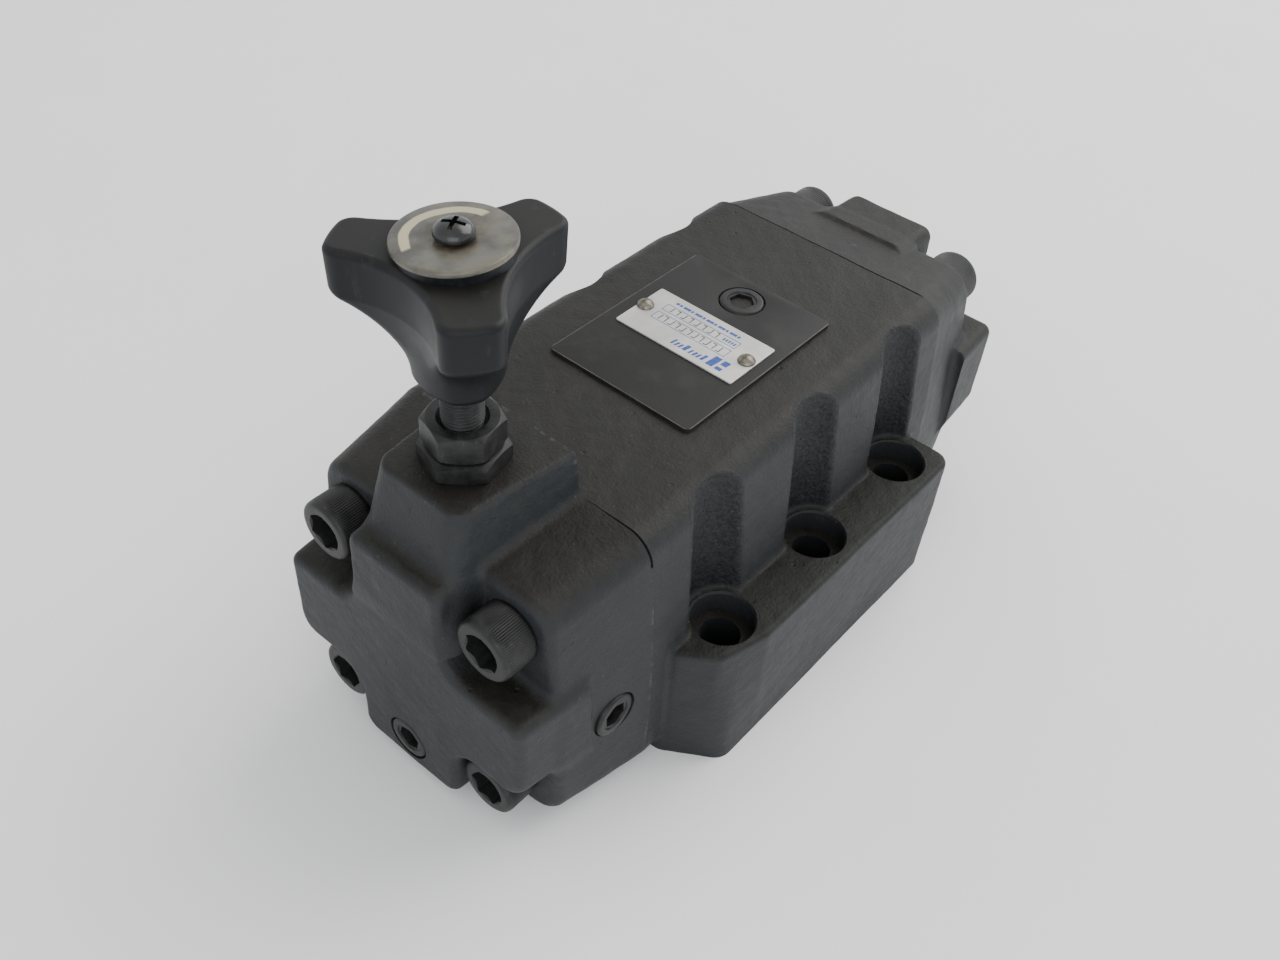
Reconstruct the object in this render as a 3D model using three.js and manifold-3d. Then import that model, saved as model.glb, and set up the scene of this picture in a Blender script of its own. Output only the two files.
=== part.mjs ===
// Sub-plate mounted hydraulic pressure-reducing valve, size 10, with a hand-set pilot.
// Millimetres, +Z up. The origin is the centre of the bolt pattern on the mounting face.
// The main bore lies along Y; the front cover with the adjuster is at -Y.
import * as THREE from 'three';
import * as BufferGeometryUtils from 'three/addons/utils/BufferGeometryUtils.js';
import Module from 'manifold-3d';

const wasm = await Module();
wasm.setup();

// ---- driving dimensions -------------------------------------------------------------------
const BODY = { front: -66.7, rear: 62.25, top: 85.6, endWidth: 95.2 };
const BORE = { radius: 14, z: 43, chamberRadius: 18, chamberInner: 16, chamberOuter: 36 };
const FLANGE = { halfWidth: 60.9, front: -60.4, rear: 55.7, top: 43, corner: 9 };
const BOLT = { x: 48.4, y: 42.05, hole: 11, spotface: 17.5, spotDepth: 6.5 };
const POCKET = { radius: 10.9, height: 83.5 };
const PAD = { halfX: 23.9, front: -32.1, rear: 31.4, height: 1, corner: 3 };
const PORT = { y: 25.4, radius: 11, grooveOuter: 15.2, grooveDepth: 1.7 };
const DRAIN = { x: 26, y: 0, radius: 3.2, grooveOuter: 6.2, grooveDepth: 1.7 };
const COVER_SCREW = {
  x: 27, high: 70, low: 15.5, head: 16, headHeight: 10, socket: 8, thread: 10, length: 46,
};
const FRONT_COVER = {
  seat: -97.5, seatWidth: 86.5, seatTop: 81.6, face: -110, halfBand: 41, corner: 7,
  shelfHigh: 54, shelfLow: 25.5,
};
const REAR_COVER = {
  seat: 92, seatWidth: 84, seatTop: 80, face: 105, halfBand: 43.4, corner: 9,
  shelfHigh: 57.3, shelfLow: 24,
};
const CROSS = { column: 15.5, foot: 18, halfBand: 46.5, top: 84 };
const BOSS = { top: 98, front: -100.5, rear: -66.9 };
const PLUG = { radius: 6.5, depth: 9, socket: 6 };
const ADJUSTER = { x: 0, y: -85.2, turn: THREE.MathUtils.degToRad(-17), thread: 10 };
const RETAINER = { acrossFlats: 19, seat: 98, height: 4.8, shank: 16, depth: 14 };
const LOCK_NUT = { acrossFlats: 17, seat: 103.1, height: 7.2 };
const KNOB = { bottom: 121, shoulder: 142, top: 153.3, hub: 8, reach: 26.4, lobe: 5.6 };
const KNOB_LOBES = [210, 85, 324].map(THREE.MathUtils.degToRad);
const DISC = { radius: 13, thickness: 1.2, lift: 2.2, tilt: THREE.MathUtils.degToRad(3) };
const PLATE = { width: 20, length: 40, thickness: 0.5, x: 0.4, y: -0.2, rivet: 17.7 };
const SPOOL = { land: 13.7, neck: 8, front: -58, neckFront: -30, neckRear: 20, springBore: 8.5 };
const MAIN_SPRING = { radius: 7.1, wire: 1.4, turns: 7 };
const PILOT_SPRING = { radius: 4.6, wire: 1.6, length: 16.4, turns: 5, foot: 64.3 };
const HOLDER = { land: 6.7, groove: 5.6, bottom: 78, top: 87 };
const JOINT_RING = { radius: 16, section: 0.9, groove: 17.6, depth: 1.9 };
const PORT_RING = { section: 0.8, main: 13.4, drain: 5, z: 0.85 };
const CLEARANCE = 0.1;
const NUT_BORE = 5.2;
const STEPS = 4;
const ROUND = 22;

// ---- materials ----------------------------------------------------------------------------
const castPaint = { color: 0x3a3a39, roughness: 0.62, metalness: 0.15 };
const blackSteel = { color: 0x2b2b2c, roughness: 0.45, metalness: 0.7 };
const brightSteel = { color: 0x9a9a98, roughness: 0.35, metalness: 0.9 };
const springSteel = { color: 0x6f7072, roughness: 0.4, metalness: 0.9 };
const rubber = { color: 0x151515, roughness: 0.8, metalness: 0 };
const blackPlastic = { color: 0x2c2c2e, roughness: 0.5, metalness: 0 };
const aluminium = { color: 0xcfcabb, roughness: 0.4, metalness: 0.6 };

// ---- geometry helpers ---------------------------------------------------------------------
function solid(geometry) {
  const plain = geometry.clone();
  plain.deleteAttribute('normal');
  plain.deleteAttribute('uv');
  const merged = BufferGeometryUtils.mergeVertices(plain, 1e-4);
  const mesh = new wasm.Mesh({
    numProp: 3,
    vertProperties: new Float32Array(merged.attributes.position.array),
    triVerts: new Uint32Array(merged.index.array),
  });
  mesh.merge();
  return new wasm.Manifold(mesh);
}

function geometryOf(manifold) {
  const mesh = manifold.getMesh();
  const geometry = new THREE.BufferGeometry();
  geometry.setAttribute('position', new THREE.BufferAttribute(mesh.vertProperties, 3));
  geometry.setIndex(new THREE.BufferAttribute(mesh.triVerts, 1));
  geometry.computeVertexNormals();
  return geometry;
}

const join = (first, ...others) => others.reduce((sum, next) => sum.add(next), first);
const cut = (first, ...others) => others.reduce((rest, next) => rest.subtract(next), first);

// Outline through corner points [x, y, radius], each corner rounded by its own radius.
function rounded(corners, steps = STEPS) {
  const outline = [];
  corners.forEach(([x, y, radius], i) => {
    const corner = new THREE.Vector2(x, y);
    const before = new THREE.Vector2(...corners.at(i - 1));
    const after = new THREE.Vector2(...corners[(i + 1) % corners.length]);
    const inward = corner.clone().sub(before).normalize();
    const outward = after.clone().sub(corner).normalize();
    const turn = Math.atan2(inward.cross(outward), inward.dot(outward));
    if (!radius) {
      outline.push(corner);
      return;
    }
    const tangent = radius * Math.tan(Math.abs(turn) / 2);
    const start = corner.clone().addScaledVector(inward, -tangent);
    const side = Math.sign(turn) * radius;
    const centre = start.clone().add(new THREE.Vector2(-inward.y * side, inward.x * side));
    for (let k = 0; k <= steps; k += 1) {
      outline.push(start.clone().rotateAround(centre, (turn * k) / steps));
    }
  });
  return outline;
}

function rectangle(x0, y0, x1, y1, radius) {
  return rounded([[x0, y0, radius], [x1, y0, radius], [x1, y1, radius], [x0, y1, radius]]);
}

// Closed skin over matching outlines; place(point, station) gives each point's 3-D position.
function loft(stations, place) {
  const count = stations[0].outline.length;
  const positions = [];
  const index = [];
  stations.forEach((station) => {
    station.outline.forEach((point) => positions.push(...place(point, station)));
  });
  for (let s = 0; s + 1 < stations.length; s += 1) {
    for (let i = 0; i < count; i += 1) {
      const a = s * count + i;
      const b = s * count + ((i + 1) % count);
      index.push(a, b, b + count, a, b + count, a + count);
    }
  }
  const last = (stations.length - 1) * count;
  THREE.ShapeUtils.triangulateShape(stations[0].outline, []).forEach(([a, b, c]) => {
    index.push(a, c, b);
  });
  THREE.ShapeUtils.triangulateShape(stations.at(-1).outline, []).forEach(([a, b, c]) => {
    index.push(last + a, last + b, last + c);
  });
  const geometry = new THREE.BufferGeometry();
  geometry.setAttribute('position', new THREE.Float32BufferAttribute(positions, 3));
  geometry.setIndex(index);
  return solid(geometry);
}

// Outlines in X and Z, stations from the rear to the front along Y.
function loftAlongY(stations) {
  const ordered = [...stations].sort((a, b) => b.at - a.at);
  return loft(ordered, (point, station) => [point.x, station.at, point.y]);
}

// Outlines in X and Y, stations upward along Z.
function loftAlongZ(stations) {
  return loft(stations, (point, station) => [point.x, point.y, station.at]);
}

const scaled = (outline, kx, ky) => outline.map((p) => new THREE.Vector2(p.x * kx, p.y * ky));

const AXES = {
  x: (g) => g.rotateZ(-Math.PI / 2),
  y: (g) => g,
  z: (g) => g.rotateX(Math.PI / 2),
};

// Cylinder or hexagon along an axis from one coordinate to another, about a centre point.
function rod(axis, radius, from, to, centre, segments = ROUND) {
  const length = Math.abs(to - from);
  const upright = new THREE.CylinderGeometry(radius, radius, length, segments);
  const place = new THREE.Vector3(...centre);
  place[axis] = (from + to) / 2;
  return solid(AXES[axis](upright).translate(place.x, place.y, place.z));
}

const ORIGIN = [0, 0, 0];

function hexagon(axis, flats, from, to) {
  return rod(axis, flats / Math.sqrt(3), from, to, ORIGIN, 6);
}

// Turned solid about Z from [radius, height] points that start and end on the axis.
function turned(profile, segments = ROUND) {
  const points = profile.map(([radius, height]) => new THREE.Vector2(radius, height));
  return new THREE.LatheGeometry(points, segments).rotateX(Math.PI / 2);
}

function ringGeometry(radius, section) {
  return new THREE.TorusGeometry(radius, section, 5, 18);
}

class Helix extends THREE.Curve {
  constructor(radius, length, turns) {
    super();
    Object.assign(this, { radius, length, turns });
  }

  getPoint(t, target = new THREE.Vector3()) {
    const angle = t * this.turns * 2 * Math.PI;
    return target.set(this.radius * Math.cos(angle), this.radius * Math.sin(angle), t * this.length);
  }
}

function springGeometry({ radius, wire, length, turns }) {
  const circle = new THREE.Path().absarc(0, 0, wire / 2, 0, 2 * Math.PI);
  const section = new THREE.Shape(circle.getPoints(3));
  const path = new Helix(radius, length - wire, turns);
  const options = { steps: turns * 9, extrudePath: path, bevelEnabled: false };
  return new THREE.ExtrudeGeometry(section, options).translate(0, 0, wire / 2);
}

// ---- assembly ------------------------------------------------------------------------------
const valve = new THREE.Group();

function piece(name, shape, look, parent = valve) {
  const geometry = shape.isBufferGeometry ? shape : geometryOf(shape);
  const mesh = new THREE.Mesh(geometry, new THREE.MeshStandardMaterial(look));
  mesh.name = name;
  parent.add(mesh);
  return mesh;
}

// Section of the joint faces: drafted sides, small top corners, large bottom corners.
function jointSection(width = BODY.endWidth, bottom = 0, top = BODY.top, corner = 7) {
  const half = width / 2;
  const waist = bottom + 26;
  return rounded([
    [-half + 2, bottom, 10], [half - 2, bottom, 10], [half, waist, 30],
    [half - 5.8, top, corner], [-half + 5.8, top, corner], [-half, waist, 30],
  ]);
}

const sides = [-1, 1];
const boltPlaces = sides.flatMap((side) => [-1, 0, 1].map((row) => [side * BOLT.x, row * BOLT.y]));
const screwPlaces = [COVER_SCREW.high, COVER_SCREW.low].flatMap((z) => (
  sides.map((side) => [side * COVER_SCREW.x, z])));

function flange() {
  const { halfWidth, front, rear, top, corner } = FLANGE;
  const plan = (grow) => rounded([
    [-47.4, front - grow, corner], [47.4, front - grow, corner], [56, front + 7.5, corner],
    [halfWidth + grow, front + 30, 20], [halfWidth + grow, rear - grow, corner],
    [-halfWidth - grow, rear - grow, corner], [-halfWidth - grow, front + 30, 20],
    [-56, front + 7.5, corner],
  ]);
  return loftAlongZ([
    { at: 0, outline: plan(0) },
    { at: top - 1, outline: plan(0) },
    { at: top, outline: plan(-1) },
  ]);
}

function bodyCuts() {
  const cuts = [
    rod('y', BORE.radius, BODY.front - 1, BODY.rear + 1, [0, 0, BORE.z]),
    rod('x', DRAIN.radius, 13, DRAIN.x, [0, DRAIN.y, BORE.z], 12),
    rod('z', DRAIN.radius, -1, BORE.z, [DRAIN.x, DRAIN.y, 0], 16),
    rod('z', DRAIN.grooveOuter, -1, DRAIN.grooveDepth, [DRAIN.x, DRAIN.y, 0]),
    rod('z', PLUG.radius + 0.1, BODY.top - 10, BODY.top + 3, [0, 21.7, 0]),
    rod('z', 2.5, BORE.z, BODY.top, [0, 21.7, 0], 12),
  ];
  sides.forEach((side) => {
    const chamber = [side * BORE.chamberInner, side * BORE.chamberOuter];
    cuts.push(rod('y', BORE.chamberRadius, ...chamber, [0, 0, BORE.z]));
    cuts.push(rod('z', PORT.radius, -1, BORE.z, [0, side * PORT.y, 0]));
    cuts.push(rod('z', PORT.grooveOuter, -1, PORT.grooveDepth, [0, side * PORT.y, 0]));
  });
  boltPlaces.forEach(([x, y]) => {
    const seat = FLANGE.top - BOLT.spotDepth;
    cuts.push(rod('z', BOLT.hole / 2, -1, seat + 1, [x, y, 0], 20));
    cuts.push(rod('z', BOLT.spotface / 2, seat, FLANGE.top + 1, [x, y, 0]));
    cuts.push(rod('z', POCKET.radius, FLANGE.top, POCKET.height, [x, y, 0], 24));
  });
  const reach = COVER_SCREW.length - 30.8 + 3;
  screwPlaces.forEach(([x, z]) => {
    cuts.push(rod('y', 5.35, BODY.front - 1, BODY.front + reach, [x, 0, z], 16));
    cuts.push(rod('y', 5.35, BODY.rear - reach, BODY.rear + 1, [x, 0, z], 16));
  });
  cuts.push(jointRingGroove(BODY.front), jointRingGroove(BODY.rear));
  return cuts;
}

// Shallow groove for a joint O-ring round the main bore.
function jointRingGroove(at) {
  const { groove, depth } = JOINT_RING;
  return rod('y', groove, at - depth, at + depth, [0, 0, BORE.z]);
}

function makeBody() {
  const block = loftAlongY([
    { at: BODY.front, outline: jointSection() },
    { at: BODY.rear, outline: jointSection() },
  ]);
  const padOutline = rectangle(-PAD.halfX, PAD.front, PAD.halfX, PAD.rear, PAD.corner);
  const pad = loftAlongZ([
    { at: BODY.top - 2, outline: padOutline },
    { at: BODY.top + PAD.height, outline: padOutline },
  ]);
  return cut(join(block, flange(), pad), ...bodyCuts());
}

// Cross-shaped front of a cover: a column and a band whose inner corners follow the screw heads.
function crossSection({ shelfHigh, shelfLow }, halfBand, bottom, top) {
  const { column, foot } = CROSS;
  const inner = 8;
  return rounded([
    [-foot, bottom, 4], [foot, bottom, 4], [foot, shelfLow, inner], [halfBand, shelfLow, 7],
    [halfBand, shelfHigh, 3], [column, shelfHigh, inner], [column, top, 3], [-column, top, 3],
    [-column, shelfHigh, inner], [-halfBand, shelfHigh, 3], [-halfBand, shelfLow, 7],
    [-foot, shelfLow, inner],
  ]);
}

function coverBlock(cover, joint) {
  const { seat, seatWidth, seatTop, face, halfBand, corner } = cover;
  const edge = face - Math.sign(face) * 1.5;
  const base = loftAlongY([
    { at: joint, outline: jointSection(BODY.endWidth, 0, BODY.top, corner) },
    { at: seat, outline: jointSection(seatWidth, 4, seatTop, corner) },
  ]);
  const cross = loftAlongY([
    { at: joint, outline: crossSection(cover, CROSS.halfBand, 1, CROSS.top) },
    { at: edge, outline: crossSection(cover, halfBand, 2, CROSS.top - 2) },
    { at: face, outline: scaled(crossSection(cover, halfBand, 3.5, CROSS.top - 3.5), 0.965, 1) },
  ]);
  return join(base, cross);
}

function screwHoles(cover, joint) {
  return screwPlaces.map(([x, z]) => rod('y', 5.5, joint, cover.face, [x, 0, z], 20))
    .concat(screwPlaces.map(([x, z]) => (
      rod('y', COVER_SCREW.head / 2 + 0.6, cover.seat, cover.face * 1.1, [x, 0, z]))));
}

function bossOutline(front, halfFront, halfRear) {
  return rounded([
    [-halfRear, BOSS.rear, 0], [-halfFront, front, 3.5], [halfFront, front, 3.5],
    [halfRear, BOSS.rear, 0],
  ]);
}

function makeFrontCover() {
  const joint = BODY.front - CLEARANCE / 2;
  const boss = loftAlongZ([
    { at: 60, outline: bossOutline(-106, 16.5, 20) },
    { at: BODY.top, outline: bossOutline(-103.5, 15.5, 19) },
    { at: BOSS.top, outline: bossOutline(BOSS.front, 13.5, 17.3) },
  ]);
  const centre = [ADJUSTER.x, ADJUSTER.y, 0];
  return cut(
    join(coverBlock(FRONT_COVER, joint), boss),
    ...screwHoles(FRONT_COVER, joint),
    rod('z', 8.25, 83, BOSS.top + 1, centre),
    rod('z', 9.45, BOSS.top - 1.4, BOSS.top + 1, centre),
    rod('z', 7, 58, 84, centre),
    rod('z', 5, 42, 59, centre, 20),
    rod('z', 2.4, BORE.z - 6, 43, centre, 12),
    rod('y', 2.4, joint + 1, ADJUSTER.y, [0, 0, BORE.z - 4], 12),
    rod('y', PLUG.radius + 0.1, FRONT_COVER.face - 1, FRONT_COVER.face + 10, [0, 0, 13]),
    rod('x', PLUG.radius + 0.1, 34, 50, [0, -79.5, 35]),
  );
}

function makeRearCover() {
  const joint = BODY.rear + CLEARANCE / 2;
  return cut(coverBlock(REAR_COVER, joint), ...screwHoles(REAR_COVER, joint));
}

// Socket head cap screw along +Z: head base at zero, thread below.
function capScrewGeometry() {
  const { head, headHeight, socket, thread, length } = COVER_SCREW;
  const shank = turned([
    [0, -length], [thread / 2 - 1, -length], [thread / 2, -length + 1], [thread / 2, 0],
    [head / 2, 0], [head / 2, headHeight - 0.8], [head / 2 - 0.8, headHeight], [0, headHeight],
  ], 20);
  return cut(solid(shank), hexagon('z', socket, headHeight - 5, headHeight + 1));
}

function addCoverScrews(prefix, cover, facing) {
  screwPlaces.forEach(([x, z], i) => {
    const screw = piece(`${prefix}_cover_screw_${i + 1}`, capScrewGeometry(), blackSteel);
    screw.position.set(x, cover.seat + facing * CLEARANCE, z);
    screw.rotation.x = (-facing * Math.PI) / 2;
  });
}

// Hexagon socket plug along +Z with its rim at zero.
function plugGeometry() {
  const { radius, depth, socket } = PLUG;
  const body = turned([
    [0, -depth], [radius - 1.2, -depth], [radius - 0.1, -depth + 1], [radius - 0.1, -0.7],
    [radius - 0.8, 0], [0, 0],
  ], 24);
  return cut(solid(body), hexagon('z', socket, -5, 1));
}

function addPlugs() {
  const top = piece('gauge_port_plug', plugGeometry(), blackSteel);
  top.position.set(0, 21.7, BODY.top + PAD.height + 0.3);
  const front = piece('front_passage_plug', plugGeometry(), blackSteel);
  front.position.set(0, FRONT_COVER.face - 0.1, 13);
  front.rotation.x = Math.PI / 2;
  const side = piece('side_passage_plug', plugGeometry(), blackSteel);
  side.position.set(45.4, -79.5, 35);
  side.rotation.y = Math.PI / 2;
}

function addNameplate() {
  const z = BODY.top + PAD.height + 0.02;
  const hole = 1.7;
  const plate = loftAlongZ([0, PLATE.thickness].map((at) => ({
    at: z + at,
    outline: rectangle(
      PLATE.x - PLATE.length / 2, PLATE.y - PLATE.width / 2,
      PLATE.x + PLATE.length / 2, PLATE.y + PLATE.width / 2, 0.6),
  })));
  piece('nameplate', plate, aluminium);
  sides.forEach((side, i) => {
    const rivet = piece(`nameplate_rivet_${i + 1}`, turned([
      [0, 0], [2.5, 0], [2.3, 0.7], [1.4, 1.4], [0, 1.7],
    ], 16), brightSteel);
    rivet.position.set(side * PLATE.rivet, 0.3, z + PLATE.thickness + 0.02);
  });
}

function addMainStage() {
  const spoolEnd = BODY.rear - 0.35;
  const { land, neck, front, neckFront, neckRear, springBore } = SPOOL;
  const profile = [
    [0, front], [land, front], [land, neckFront], [neck, neckFront], [neck, neckRear],
    [land, neckRear], [land, spoolEnd], [0, spoolEnd],
  ];
  const spool = cut(
    solid(turned(profile)),
    rod('z', springBore, front - 1, -34.3, ORIGIN),
    rod('z', 3.2, -35, -27, ORIGIN, 16),
    rod('z', 1.6, -28, -10, ORIGIN, 10),
    rod('x', 1.6, -9, 9, [0, 0, -12], 10),
  );
  const alongBore = new THREE.Group();
  alongBore.position.z = BORE.z;
  alongBore.rotation.x = -Math.PI / 2;
  valve.add(alongBore);
  piece('main_spool', spool, brightSteel, alongBore);
  const orifice = cut(
    solid(turned([[0, 0], [3, 0], [3, 5], [0, 5]], 16)),
    rod('z', 0.6, -1, 6, ORIGIN, 8),
    hexagon('z', 2.5, -1, 1.5),
  );
  piece('spool_orifice', orifice, brightSteel, alongBore).position.z = -33.5;
  const seat = cut(
    solid(turned([[0, 0], [12, 0], [12, 1.2], [5, 1.2], [5, 5], [0, 5]], 20)),
    rod('z', 2.2, -1, 7, ORIGIN, 12),
  );
  piece('spring_seat', seat, brightSteel, alongBore).position.z = BODY.front + CLEARANCE;
  const foot = BODY.front + 1.5;
  const spring = springGeometry({ ...MAIN_SPRING, length: -34.5 - foot });
  piece('main_spring', spring, springSteel, alongBore).position.z = foot;
}

function addPilotStage() {
  const centre = new THREE.Group();
  centre.position.set(ADJUSTER.x, ADJUSTER.y, 0);
  valve.add(centre);
  const seat = cut(
    solid(turned([[0, 46], [4.8, 46], [4.8, 57.5], [0, 57.5]], 18)),
    rod('z', 1.4, 45, 60, ORIGIN, 12),
  );
  piece('pilot_seat', seat, brightSteel, centre);
  const poppet = turned([
    [0, 58.6], [0.9, 58.6], [3.4, 62.4], [4.6, 62.4], [4.6, 64], [2.4, 64], [2.4, 67], [0, 67],
  ], 16);
  piece('pilot_poppet', poppet, brightSteel, centre);
  const spring = piece('pilot_spring', springGeometry(PILOT_SPRING), springSteel, centre);
  spring.position.z = PILOT_SPRING.foot;
  const { land, groove, bottom, top } = HOLDER;
  const holder = turned([
    [0, bottom], [2.6, bottom], [2.6, bottom + 3], [land, bottom + 3], [land, top - 4.4],
    [groove, top - 4.4], [groove, top - 2.4], [land, top - 2.4], [land, top], [0, top],
  ], 20);
  piece('spring_holder', holder, brightSteel, centre);
  piece('spring_holder_ring', ringGeometry(6.15, 0.45), rubber, centre).position.z = 83.6;
}

function makeRetainer() {
  const { acrossFlats, seat, height, shank, depth } = RETAINER;
  const body = solid(turned([
    [0, seat - depth], [shank / 2 - 1, seat - depth], [shank / 2, seat - depth + 1],
    [shank / 2, seat + 0.05], [acrossFlats / 2, seat + 0.05], [11.2, seat + 0.6],
    [11.2, seat + height - 0.9], [9.2, seat + height], [0, seat + height],
  ], 24));
  return cut(
    body.intersect(hexagon('z', acrossFlats, seat - depth - 1, seat + height + 1)),
    rod('z', NUT_BORE, seat - depth - 1, seat + height + 1, ORIGIN, 20),
    rod('z', HOLDER.land + 0.3, seat - depth - 1, seat - 2, ORIGIN),
  );
}

function makeLockNut() {
  const { acrossFlats, height } = LOCK_NUT;
  const mouth = [[0, height - 0.8], [NUT_BORE, height - 0.8], [6, height + 0.2], [0, height + 0.2]];
  const body = solid(turned([
    [0, 0], [8.4, 0], [10, 0.9], [10, height - 0.9], [8.2, height], [0, height],
  ], 24));
  return cut(
    body.intersect(hexagon('z', acrossFlats, -1, height + 1)),
    rod('z', NUT_BORE, -1, height + 1, ORIGIN, 20),
    solid(turned(mouth, 20)),
  );
}

function makeAdjustingScrew() {
  const radius = ADJUSTER.thread / 2;
  const stud = turned([
    [0, 87.05], [radius - 1, 87.05], [radius, 88.2], [radius, 149], [radius - 0.8, 150], [0, 150],
  ], 20);
  return cut(solid(stud), rod('z', 2.65, 138, 151, ORIGIN, 12));
}

// Three-lobed plan: lobe tips joined by concave flutes.
function knobPlan() {
  const { reach, lobe, hub } = KNOB;
  const order = [...KNOB_LOBES].sort((a, b) => a - b);
  const corners = [];
  order.forEach((angle, i) => {
    const along = new THREE.Vector2(Math.cos(angle), Math.sin(angle));
    const across = new THREE.Vector2(-along.y, along.x);
    const next = order[(i + 1) % order.length] + (i + 1 === order.length ? 2 * Math.PI : 0);
    const valley = (angle + next) / 2;
    sides.forEach((side) => {
      const tip = along.clone().multiplyScalar(reach).addScaledVector(across, side * lobe);
      corners.push([tip.x, tip.y, 2.6]);
    });
    corners.push([(hub + 2.2) * Math.cos(valley), (hub + 2.2) * Math.sin(valley), 16]);
  });
  return rounded(corners, 4);
}

function makeKnob() {
  const { bottom, shoulder, top, hub, reach } = KNOB;
  const plan = knobPlan();
  const prism = loftAlongZ([
    { at: bottom, outline: scaled(plan, 0.8, 0.8) },
    { at: shoulder, outline: plan },
    { at: top - 1.2, outline: plan },
    { at: top, outline: scaled(plan, 0.965, 0.965) },
  ]);
  const envelope = solid(turned([
    [0, bottom], [hub, bottom], [hub + 0.7, bottom + 1], [hub + 2.2, bottom + 7],
    [hub + 6.5, bottom + 13.5], [reach, shoulder], [reach + 1, top], [0, top],
  ], 24));
  const core = solid(turned([
    [0, bottom], [hub, bottom], [hub + 0.7, bottom + 1], [hub + 2.2, bottom + 7],
    [hub + 3.6, shoulder], [hub + 4.5, top], [0, top],
  ], 24));
  return cut(
    join(prism.intersect(envelope), core),
    rod('z', ADJUSTER.thread / 2 + 0.15, bottom - 1, 150.3, ORIGIN, 20),
    rod('z', 3, 149, top + 1, ORIGIN, 14),
  );
}

function addAdjuster() {
  const fixed = new THREE.Group();
  fixed.position.set(ADJUSTER.x, ADJUSTER.y, 0);
  valve.add(fixed);
  const hexTurn = ADJUSTER.turn + Math.PI / 6;
  piece('retainer', makeRetainer(), blackSteel, fixed).rotation.z = hexTurn;
  piece('retainer_ring', ringGeometry(8.78, 0.55), rubber, fixed).position.z = BOSS.top - 0.7;
  const nut = piece('lock_nut', makeLockNut(), blackSteel, fixed);
  nut.position.z = LOCK_NUT.seat;
  nut.rotation.z = hexTurn;
  piece('adjusting_screw', makeAdjustingScrew(), blackSteel, fixed);
  piece('knob', makeKnob(), blackPlastic, fixed);
  addKnobTop(fixed);
}

// The disc sits slightly tilted on the knob, high towards +X and +Y; its screw stays upright.
function addKnobTop(parent) {
  const tilted = new THREE.Group();
  tilted.position.z = KNOB.top + DISC.lift;
  tilted.rotation.set(DISC.tilt * 0.65, -DISC.tilt * 0.76, 0);
  parent.add(tilted);
  const disc = cut(
    solid(turned([
      [0, 0], [DISC.radius, 0], [DISC.radius, DISC.thickness - 0.3],
      [DISC.radius - 0.4, DISC.thickness], [0, DISC.thickness],
    ], 28)),
    rod('z', 2.9, -1, DISC.thickness + 1, ORIGIN, 16),
  );
  piece('knob_disc', disc, aluminium, tilted);
  const top = DISC.thickness + 0.35;
  const screw = cut(
    solid(turned([
      [0, -13], [2.4, -13], [2.4, top], [4.5, top], [4.4, top + 1.2], [3, top + 2.6], [0, top + 3],
    ], 20)),
    solid(new THREE.BoxGeometry(4.6, 1, 2.4).translate(0, 0, top + 2.6)),
    solid(new THREE.BoxGeometry(1, 4.6, 2.4).translate(0, 0, top + 2.6)),
  );
  piece('knob_screw', screw, blackSteel, parent).position.z = KNOB.top + DISC.lift;
}

function addSeals() {
  const { radius, section } = JOINT_RING;
  const joints = { front_joint_ring: BODY.front + 0.97, rear_joint_ring: BODY.rear - 0.97 };
  Object.entries(joints).forEach(([name, y]) => {
    const ring = piece(name, ringGeometry(radius, section), rubber);
    ring.position.set(0, y, BORE.z);
    ring.rotation.x = Math.PI / 2;
  });
  const ports = {
    inlet_port_ring: [0, PORT.y, PORT_RING.main],
    outlet_port_ring: [0, -PORT.y, PORT_RING.main],
    drain_port_ring: [DRAIN.x, DRAIN.y, PORT_RING.drain],
  };
  Object.entries(ports).forEach(([name, [x, y, size]]) => {
    piece(name, ringGeometry(size, PORT_RING.section), rubber).position.set(x, y, PORT_RING.z);
  });
}

piece('valve_body', makeBody(), castPaint);
piece('front_cover', makeFrontCover(), castPaint);
piece('rear_cover', makeRearCover(), castPaint);
addCoverScrews('front', FRONT_COVER, -1);
addCoverScrews('rear', REAR_COVER, 1);
addPlugs();
addNameplate();
addMainStage();
addPilotStage();
addAdjuster();
addSeals();

export default valve;
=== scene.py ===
"""Sub-plate mounted hydraulic valve with a hand-set pilot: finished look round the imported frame."""
import math

import bmesh
import bpy
import numpy as np
import openvdb
from mathutils import Matrix, Vector


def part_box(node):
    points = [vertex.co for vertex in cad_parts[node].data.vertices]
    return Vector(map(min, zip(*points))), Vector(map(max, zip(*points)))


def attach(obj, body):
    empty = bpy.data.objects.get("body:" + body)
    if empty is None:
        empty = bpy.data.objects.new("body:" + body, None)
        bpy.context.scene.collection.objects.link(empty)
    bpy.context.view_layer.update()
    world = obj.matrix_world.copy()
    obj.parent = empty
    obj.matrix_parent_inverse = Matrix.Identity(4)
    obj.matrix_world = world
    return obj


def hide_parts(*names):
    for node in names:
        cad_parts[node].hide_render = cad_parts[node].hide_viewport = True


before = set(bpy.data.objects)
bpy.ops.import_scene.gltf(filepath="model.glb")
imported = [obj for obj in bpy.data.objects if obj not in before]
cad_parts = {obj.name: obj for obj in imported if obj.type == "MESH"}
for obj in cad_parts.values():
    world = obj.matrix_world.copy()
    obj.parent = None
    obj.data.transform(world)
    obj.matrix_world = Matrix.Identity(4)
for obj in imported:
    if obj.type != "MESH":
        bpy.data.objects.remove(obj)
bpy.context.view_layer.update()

# ---- sizes, in millimetres, in the frame of the CAD model ----------------------------------
MM = 0.001
FRONT_JOINT, REAR_JOINT = -66.7, 62.25
FRONT_SEAT, REAR_SEAT = -97.5, 92.0
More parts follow.
